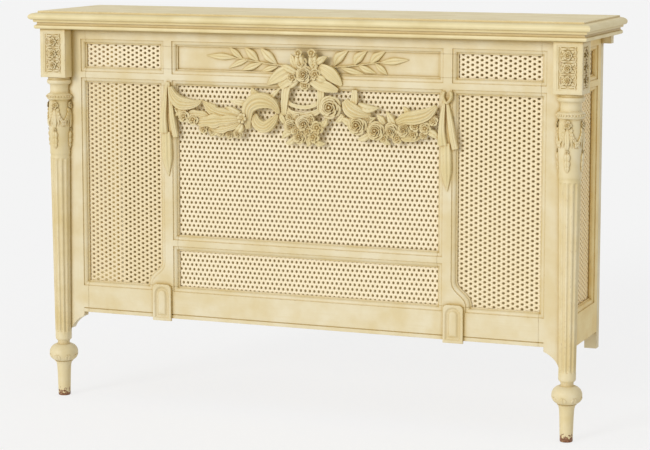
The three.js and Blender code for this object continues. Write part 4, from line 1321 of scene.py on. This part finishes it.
@dataclass
class TurnedPost:
    """A front post: a square block over a turned head, a fluted shaft, a ball and a foot."""

    layout: Layout
    hand: str
    side: int
    sides: int = 96
    flutes: int = 12
    flute_depth: float = 2.4
    flute_foot: float = 163.0
    flute_top: float = 601.0
    run_out: float = 8.0  # how far a flute takes to reach its depth
    tablet_depth: float = 2.3  # where a tablet's carving starts, behind the face of the block
    bulb_radius: float = 28.0  # for rolling the hanging carvings round the bulb
    ball_radius: float = 34.0  # for rolling the petals round the ball
    ring_beads: tuple[float, float, float, int] = (2.7, 32.2, 754, 30)  # as beads() takes them
    foot_beads: tuple[float, float, float, int] = (1.4, 21.4, 88, 36)
    fit: float = 0.3  # gap round the corner of the two frames
    notch_foot: float = 171.0  # the notch that takes that corner
    notch_height: float = 760.0
    notch_side: float = 100.0

    def profile(self) -> list[Place]:
        """Radius and height of each turned level, from the floor up."""
        foot = [(0, 0), (14, 0), (14.7, 0.8), (15, 3), (15.4, 20), (16, 40), (16.6, 60), (17.1, 70),
                (17.8, 77), (19, 82.4), (20.6, 86.2), (21.4, 86.8), (22, 87.8), (21.6, 88.9), (21, 89.4)]
        ball = [(24, 90), (27.6, 92.8), (31, 96.6), (33.6, 101), (35.1, 105.4), (35.5, 109.6), (35.1, 113.8),
                (33.8, 118), (31.6, 122), (28.6, 125.4), (25, 128), (21, 130), (17, 130.9)]
        neck = [(15.4, 131.4), (15, 133), (15, 137), (15.6, 139.6), (17.2, 141.4), (19, 143), (20, 145),
                (20.3, 147.5), (20.3, 152), (20.3, self.flute_foot)]
        heights = [164, 165.5, 168, 171, *range(190, 590, 40), 593, 596, 598.5, 600, 601]
        reach = self.flute_top - self.flute_foot
        shaft = [(20.3 + 5.2 * (h - self.flute_foot) / reach, h) for h in heights]
        bulb = [(25.4, 603), (24.6, 606), (24.8, 609), (25.8, 611), (26, 614), (25.8, 625), (26.2, 640),
                (27.3, 660), (28.2, 680), (28.5, 698), (28.2, 716), (27.2, 731), (26.2, 741), (26.2, 744)]
        capital = [(28.4, 745.6), (30.6, 747), (31.8, 749.6), (32.3, 752.6), (32.2, 755.6), (31.4, 758.2),
                   (29.4, 760), (26.6, 761), (24.4, 763), (23.9, 768), (23.8, 776), (24.2, 781),
                   (25.6, 783.4), (28.2, 784.6), (30.4, 786), (31.4, 788.4), (31.5, 791), (31, 793.4),
                   (29.6, 795.2), (28.4, 796.4), (28.4, 803), (0, 803)]
        return [*foot, *ball, *neck, *shaft, *bulb, *capital]

    def turning(self) -> bpy.types.Object:
        """Turns the post and cuts its flutes."""
        piece = spun("turning", self.profile(), self.sides)
        per_flute = self.sides // self.flutes
        for vertex in piece.data.vertices:
            ends = min(vertex.co.z - self.flute_foot, self.flute_top - vertex.co.z)
            if ends <= 0:
                continue
            step = round(math.atan2(vertex.co.y, vertex.co.x) / math.tau * self.sides) % per_flute
            sweep = max(0.0, 1 - ((step - per_flute / 2) / (per_flute / 2 - 1)) ** 2)
            out = 1 - max(0.0, 1 - ends / self.run_out) ** 2
            deep = self.flute_depth * sweep * math.sqrt(out)
            radius = math.hypot(vertex.co.x, vertex.co.y)
            vertex.co.x *= 1 - deep / radius
            vertex.co.y *= 1 - deep / radius
        return piece

    def block(self) -> bpy.types.Object:
        """Squares the block and sinks a stepped tablet in its front and its outer side."""
        low, high, side = self.layout.block_foot, self.layout.case_top, self.layout.block_side
        bpy.ops.mesh.primitive_cube_add(size=1, location=(0, 0, (low + high) / 2))
        piece = started("block")
        piece.scale = (side, side, high - low)
        settle(piece)
        with edited(piece) as mesh:
            pick(mesh, lambda face: face.normal.y < -0.9 or face.normal.x * self.side > 0.9)
            for width, depth in ((8.5, 0), (0.7, -0.9), (3, 0), (1, -1.6)):
                bpy.ops.mesh.inset(thickness=width, depth=depth, use_individual=True)
        finish_with(piece, "BEVEL", width=0.7, segments=2, limit_method="ANGLE", angle_limit=math.radians(40))
        return piece

    def tablet(self) -> bpy.types.Object:
        """Carves the rosettes and leaves of one tablet, flat, about the middle of the block."""
        middle = (self.layout.block_foot + self.layout.case_top) / 2
        strokes = []
        for gap in (-42.5, -14.25, 14.25, 42.5):
            level = middle + gap
            for way in (-1, 1):
                tip = (way * 19, level, 0.4, 0.6)
                strokes.append(sprig((way * 2, level, 0.6, 1.2), (way * 10, level, 1.6, 2.6), tip))
                for rise in (-6, 6):
                    root, tip = (way * 15, level, 0.6, 1), (way * 18, level + 2 * rise, 0.4, 0.5)
                    strokes.append(sprig(root, (way * 18, level + rise, 1.2, 2), tip))
        for row in (-1, 0, 1):
            level = middle + row * 28.5
            for x, y in ((1, 1), (1, -1), (-1, 1), (-1, -1)):
                root, tip = (x * 4, level + y * 4, 0.6, 2), (x * 17, level + y * 12, 0.4, 0.6)
                strokes.append(sprig(root, (x * 10, level + y * 7, 1.4, 3.6), tip))
            strokes.append(sprig((-20, level, 0.4, 0.6), (0, level, 1.2, 3.4), (20, level, 0.4, 0.6)))
        places = tuple((0, middle + row * 28.5, 0.4, 10.5) for row in (-1, 0, 1))
        carving = Carving(tuple(strokes), ((FLOWER, places),), back=-0.2, seed=2, lean=0)
        return carving.carved("tablet")

    def drop(self) -> bpy.types.Object:
        """Carves one hanging of husks and half a festoon on each side of it, unrolled flat."""
        strokes = [
            sprig((0, 730, 0, 2.2), (0, 710, 2.2, 4.6), (0, 692, 2.6, 5.6), (0, 677, 1, 3)),
            sprig((0, 670, 0.6, 3), (0, 661, 2.6, 7), (0, 651, 1.2, 5.4)),
            sprig((0, 655, 0.6, 3), (0, 647, 2.6, 6.6), (0, 637, 1.2, 5)),
            sprig((0, 641, 0.6, 2.8), (0, 634, 2.4, 5.6), (0, 625, 0.4, 1.8)),
        ]
        for way in (-1, 1):
            root, tip = (way * 2, 728, 0, 1.2), (way * 11, 680, 0, 0.5)
            strokes.append(sprig(root, (way * 6.5, 710, 1.6, 2.8), (way * 9, 694, 1.2, 3), tip))
            for i in range(6):
                share = i / 5
                x, y = way * (7.5 + 14 * share**1.6), 723 - 34 * share**0.75
                ahead = 1 + 4 * share
                root, tip = (x, y + 4, 0.8, 1.6), (x + way * ahead, y - 9, 0.6, 0.6)
                strokes.append(sprig(root, (x + way * ahead / 2, y - 2, 2.6, 3.8), tip))
        places = ((0, 733, 0.5, 9.5), (0, 672, 1.4, 4.5))
        return Carving(tuple(strokes), ((FLOWER, places),), back=-3, seed=4, lean=0).carved("drop")

    def calyx(self) -> bpy.types.Object:
        """Carves one of the blunt petals that clasp the ball from below, flat."""
        petal = leaf((0, 90.5, -1, 5), (0, 96, -1.3, 9), (0, 102, -1.2, 9), (0, 106.5, -0.4, 4.5))
        return Carving((petal,), back=-4).carved("calyx")

    def wrapped(self, flat: bpy.types.Object, reach: float) -> bpy.types.Object:
        """Rolls a flat carving round the post, its middle to the front.

        Args:
            flat: the carving, across and up.
            reach: the post's radius there.

        Returns:
            The same carving, rolled.
        """
        levels = [(h, r) for r, h in self.profile()]
        for vertex in flat.data.vertices:
            x, height, out = vertex.co
            below = max((p for p in levels if p[0] <= height), key=lambda p: p[0])
            above = min((p for p in levels if p[0] > height), key=lambda p: p[0])
            share = (height - below[0]) / (above[0] - below[0])
            radius = blend_of(below[1], above[1], share) + out
            angle = x / reach
            vertex.co = (radius * math.sin(angle), -radius * math.cos(angle), height)
        return flat

    def beads(self, radius: float, reach: float, level: float, count: int) -> list[bpy.types.Object]:
        """Strings beads round the post.

        Args:
            radius: a bead's radius.
            reach: how far from the axis the beads lie.
            level: their height.
            count: how many there are.

        Returns:
            The beads.
        """
        place = (reach, 0, level)
        bpy.ops.mesh.primitive_uv_sphere_add(segments=8, ring_count=6, radius=radius, location=place)
        bead = started("bead")
        settle(bead)
        copies = [copy_of(bead, Matrix.Rotation(i * math.tau / count, 4, "Z")) for i in range(count)]
        dropped(bead)
        return copies

    def housed(self, piece: bpy.types.Object) -> bpy.types.Object:
        """Cuts away the inner rear quarter, where the corner of the two frames is let in."""
        x, y = self.layout.post_axis(self.side)
        inner = self.side * (self.layout.frame_half + self.fit) - x
        front = self.layout.y_frame - self.fit - y
        half, level = self.notch_side / 2, self.notch_foot + self.notch_height / 2
        bpy.ops.mesh.primitive_cube_add(size=1)
        cutter = started("cutter")
        cutter.scale = (self.notch_side, self.notch_side, self.notch_height)
        cutter.location = (inner - self.side * half, front + half, level)
        settle(cutter)
        finish_with(piece, "BOOLEAN", operation="DIFFERENCE", object=cutter, solver="EXACT")
        dropped(cutter)
        return piece

    def build(self) -> None:
        """Makes, joins, places and dresses the post."""
        half = self.layout.block_side / 2
        flat_tablet = self.tablet()
        middle = Matrix.Translation((0, self.tablet_depth - half, 0)) @ Matrix.Rotation(math.pi / 2, 4, "X")
        pieces = [self.housed(self.turning()), self.housed(self.block())]
        pieces += [*self.beads(*self.ring_beads), *self.beads(*self.foot_beads)]
        for quarter in (0, self.side):
            pieces.append(copy_of(flat_tablet, Matrix.Rotation(quarter * math.pi / 2, 4, "Z") @ middle))
        hanging = self.wrapped(self.drop(), self.bulb_radius)
        petal = self.wrapped(self.calyx(), self.ball_radius)
        for quarter in (-1, 0, 1):
            pieces.append(copy_of(hanging, Matrix.Rotation(quarter * math.pi / 2, 4, "Z")))
        for eighth in range(8):
            pieces.append(copy_of(petal, Matrix.Rotation(eighth * math.pi / 4, 4, "Z")))
        dropped(flat_tablet, hanging, petal)
        post = joined("turned_post_" + self.hand, pieces)
        settle(post, Matrix.Scale(MM, 4) @ Matrix.Translation((*self.layout.post_axis(self.side), 0)))
        softened(post, 36)
        dress(post, POST_PAINT, "front_post_" + self.hand)


# ---------- Studio ----------


@dataclass
class Studio:
    """A white floor, soft light from the upper left, and the camera of the photograph."""

    eye: Place = (1.9277, -4.8418, 1.233)
    turn: float = 21.625
    tilt: float = 7.508
    lens: float = 119.99
    shift: float = -0.06
    ambient: float = 0.62
    key: float = 1.3
    sun: Place = (0.4, 1.0, -0.28)  # the way the light travels
    sun_width: float = 20.0  # degrees of sky that it comes from
    floor_grey: float = 0.93
    floor_white: float = 0.7  # how much of the floor's own shade is left out of what the camera sees
    # painted shade: the tan that shows through the cane in place of a shaded wall
    shade_card_colour: str = "AD9A72"
    back_card: Place = (1.25, 0.655)  # width and height
    back_place: Place = (0, 0.171, 0.5575)
    card_gap: float = 1 * MM  # from a sheet of cane to the card outside it

    def camera(self) -> None:
        """Sets the camera where the photograph was taken from."""
        data = bpy.data.cameras.new("camera")
        data.lens, data.shift_y = self.lens, self.shift
        data.clip_start, data.clip_end = 0.1, 100
        camera = bpy.data.objects.new("camera", data)
        camera.location = self.eye
        camera.rotation_euler = (math.radians(90 - self.tilt), 0, math.radians(self.turn))
        bpy.context.scene.collection.objects.link(camera)
        bpy.context.scene.camera = camera

    def seen(self, tree: bpy.types.NodeTree) -> bpy.types.Node:
        """A node that is 1 for what the camera sees, also in a mirror or through glass, and else 0."""
        rays = add(tree, "LightPath").outputs
        direct = add(tree, "Math", {0: rays["Is Camera Ray"], 1: rays["Is Glossy Ray"]}, operation="MAXIMUM")
        return add(tree, "Math", {0: direct, 1: rays["Is Transmission Ray"]}, operation="MAXIMUM")

    def cards(self) -> None:
        """Hangs plain tan cards behind the cane, so that the white studio doesn't shine through it.

        One hangs in the open back, and one outside each sheet in the ends. Their tan is painted
        shade, standing in for the shaded wall and room behind the cane. The camera sees them from
        the inside alone, and they throw no light or shade on the cabinet.
        """
        made, tree, shader = new_material("plain_card")
        # The card's tan is painted shade.
        shader.inputs["Base Color"].default_value = linear(self.shade_card_colour)
        shader.inputs["Roughness"].default_value = 0.9
        shader.inputs["Specular IOR Level"].default_value = 0.1
        rays = add(tree, "LightPath").outputs["Is Camera Ray"]
        behind = add(tree, "NewGeometry").outputs["Backfacing"]
        inside = add(tree, "Math", {0: rays, 1: behind}, operation="SUBTRACT", use_clamp=True)
        shown = add(tree, "MixShader", {0: inside, 1: add(tree, "BsdfTransparent"), 2: shader})
        tree.links.new(shown.outputs[0], tree.nodes["Material Output"].inputs["Surface"])
        places = [(0, *self.back_card, self.back_place)]
        for node in ("end_cane_right", "end_frieze_right"):
            low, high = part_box(node)
            side, centre = high.x + self.card_gap, (low + high) / 2
            for turn in (90, -90):
                place = (math.copysign(side, -turn), centre.y, centre.z)
                places.append((turn, high.y - low.y, high.z - low.z, place))
        for turn, wide, height, place in places:
            bpy.ops.mesh.primitive_plane_add(size=1, rotation=(math.pi / 2, 0, math.radians(turn)))
            card = started("studio_card")
            card.scale = (wide, height, 1)
            card.location = place
            card.data.materials.append(made)

    def floor(self) -> None:
        """Lays a matt white floor under the cabinet."""
        bpy.ops.mesh.primitive_plane_add(size=120)
        floor = started("studio_floor")
        made, tree, shader = new_material("matt_white_floor")
        shader.inputs["Base Color"].default_value = (self.floor_grey, self.floor_grey, self.floor_grey, 1)
        shader.inputs["Roughness"].default_value = 0.9
        shader.inputs["Specular IOR Level"].default_value = 0.1
        white = add(tree, "Emission", {"Color": (1, 1, 1, 1), "Strength": 1.0})
        share = add(tree, "Math", {0: self.seen(tree), 1: self.floor_white}, operation="MULTIPLY")
        blend = add(tree, "MixShader", {0: share, 1: shader, 2: white})
        tree.links.new(blend.outputs[0], tree.nodes["Material Output"].inputs["Surface"])
        floor.data.materials.append(made)

    def light(self) -> None:
        """Lights the cabinet evenly, with a little more from the upper left of the front."""
        scene = bpy.context.scene
        world = bpy.data.worlds.new("studio")
        scene.world = world
        world.use_nodes = True
        tree = world.node_tree
        soft = add(tree, "Background", {"Color": (1, 1, 1, 1), "Strength": self.ambient})
        white = add(tree, "Background", {"Color": (1, 1, 1, 1), "Strength": 1.0})
        sky = add(tree, "MixShader", {0: self.seen(tree), 1: soft, 2: white})
        tree.links.new(sky.outputs[0], tree.nodes["World Output"].inputs["Surface"])
        lamp = bpy.data.lights.new("key", "SUN")
        lamp.energy, lamp.angle = self.key, math.radians(self.sun_width)
        key = bpy.data.objects.new("key", lamp)
        key.rotation_euler = Vector(self.sun).to_track_quat("-Z", "Y").to_euler()
        scene.collection.objects.link(key)

    def build(self) -> None:
        """Sets up the camera, the floor, the cards and the light."""
        bpy.context.scene.view_settings.view_transform = "Standard"
        self.camera()
        self.floor()
        self.cards()
        self.light()


# ---------- The whole ----------

HANDS = (("left", -1), ("right", 1))

# A pilaster's foot hides the corner of the sheet beside it: how far from the middle of the cabinet
# the sheet is hidden, how much farther at the foot, and the heights between which that grows.
PILASTER_FOOT = (374.0, 36.0, 292.0, 352.0)


def both(*names: str) -> tuple[str, ...]:
    """Each name for the left and for the right."""
    return tuple(f"{name}_{hand}" for name in names for hand, _ in HANDS)


def cane_sheets(layout: Layout) -> list[CaneSheet]:
    """Every sheet of cane, with the way its rows run."""
    sheets = [CaneSheet(node, layout, Face.FRONT, True) for node in ("cane_middle_high", "cane_middle_low")]
    ends = {"left": Face.LEFT_END, "right": Face.RIGHT_END}
    for hand, _ in HANDS:
        sheets.append(CaneSheet(f"cane_bay_{hand}", layout, Face.FRONT, False, hides=PILASTER_FOOT))
        sheets.append(CaneSheet(f"cane_frieze_{hand}", layout, Face.FRONT, False))
        sheets.append(CaneSheet(f"end_cane_{hand}", layout, ends[hand], False))
        sheets.append(CaneSheet(f"end_frieze_{hand}", layout, ends[hand], False))
    return sheets


def main() -> None:
    """Builds the studio and every sub-assembly, in order."""
    layout = Layout.from_frame()
    Studio().build()
    Joinery(
        painted=("top_rail", "mid_rail", "bottom_rail", "middle_rail", "frieze_panel", "rear_batten")
        + both(
            "front_stile",
            "pilaster",
            "frieze_muntin",
            "rear_post",
            "end_front_stile",
            "end_rear_stile",
            "end_bottom_rail",
            "end_mid_rail",
            "end_top_rail",
        ),
        bare=both("glue_block_front", "glue_block_rear"),
        plated=both("hanger"),
    ).build()
    MouldedTop(layout).build()
    for sheet in cane_sheets(layout):
        sheet.build()
    Ornaments(layout).build()
    for hand, side in HANDS:
        Plinth(layout, hand, side).build()
        TurnedPost(layout, hand, side).build()


if __name__ == "__main__":
    logging.basicConfig(level=logging.INFO, format="%(message)s")
    main()
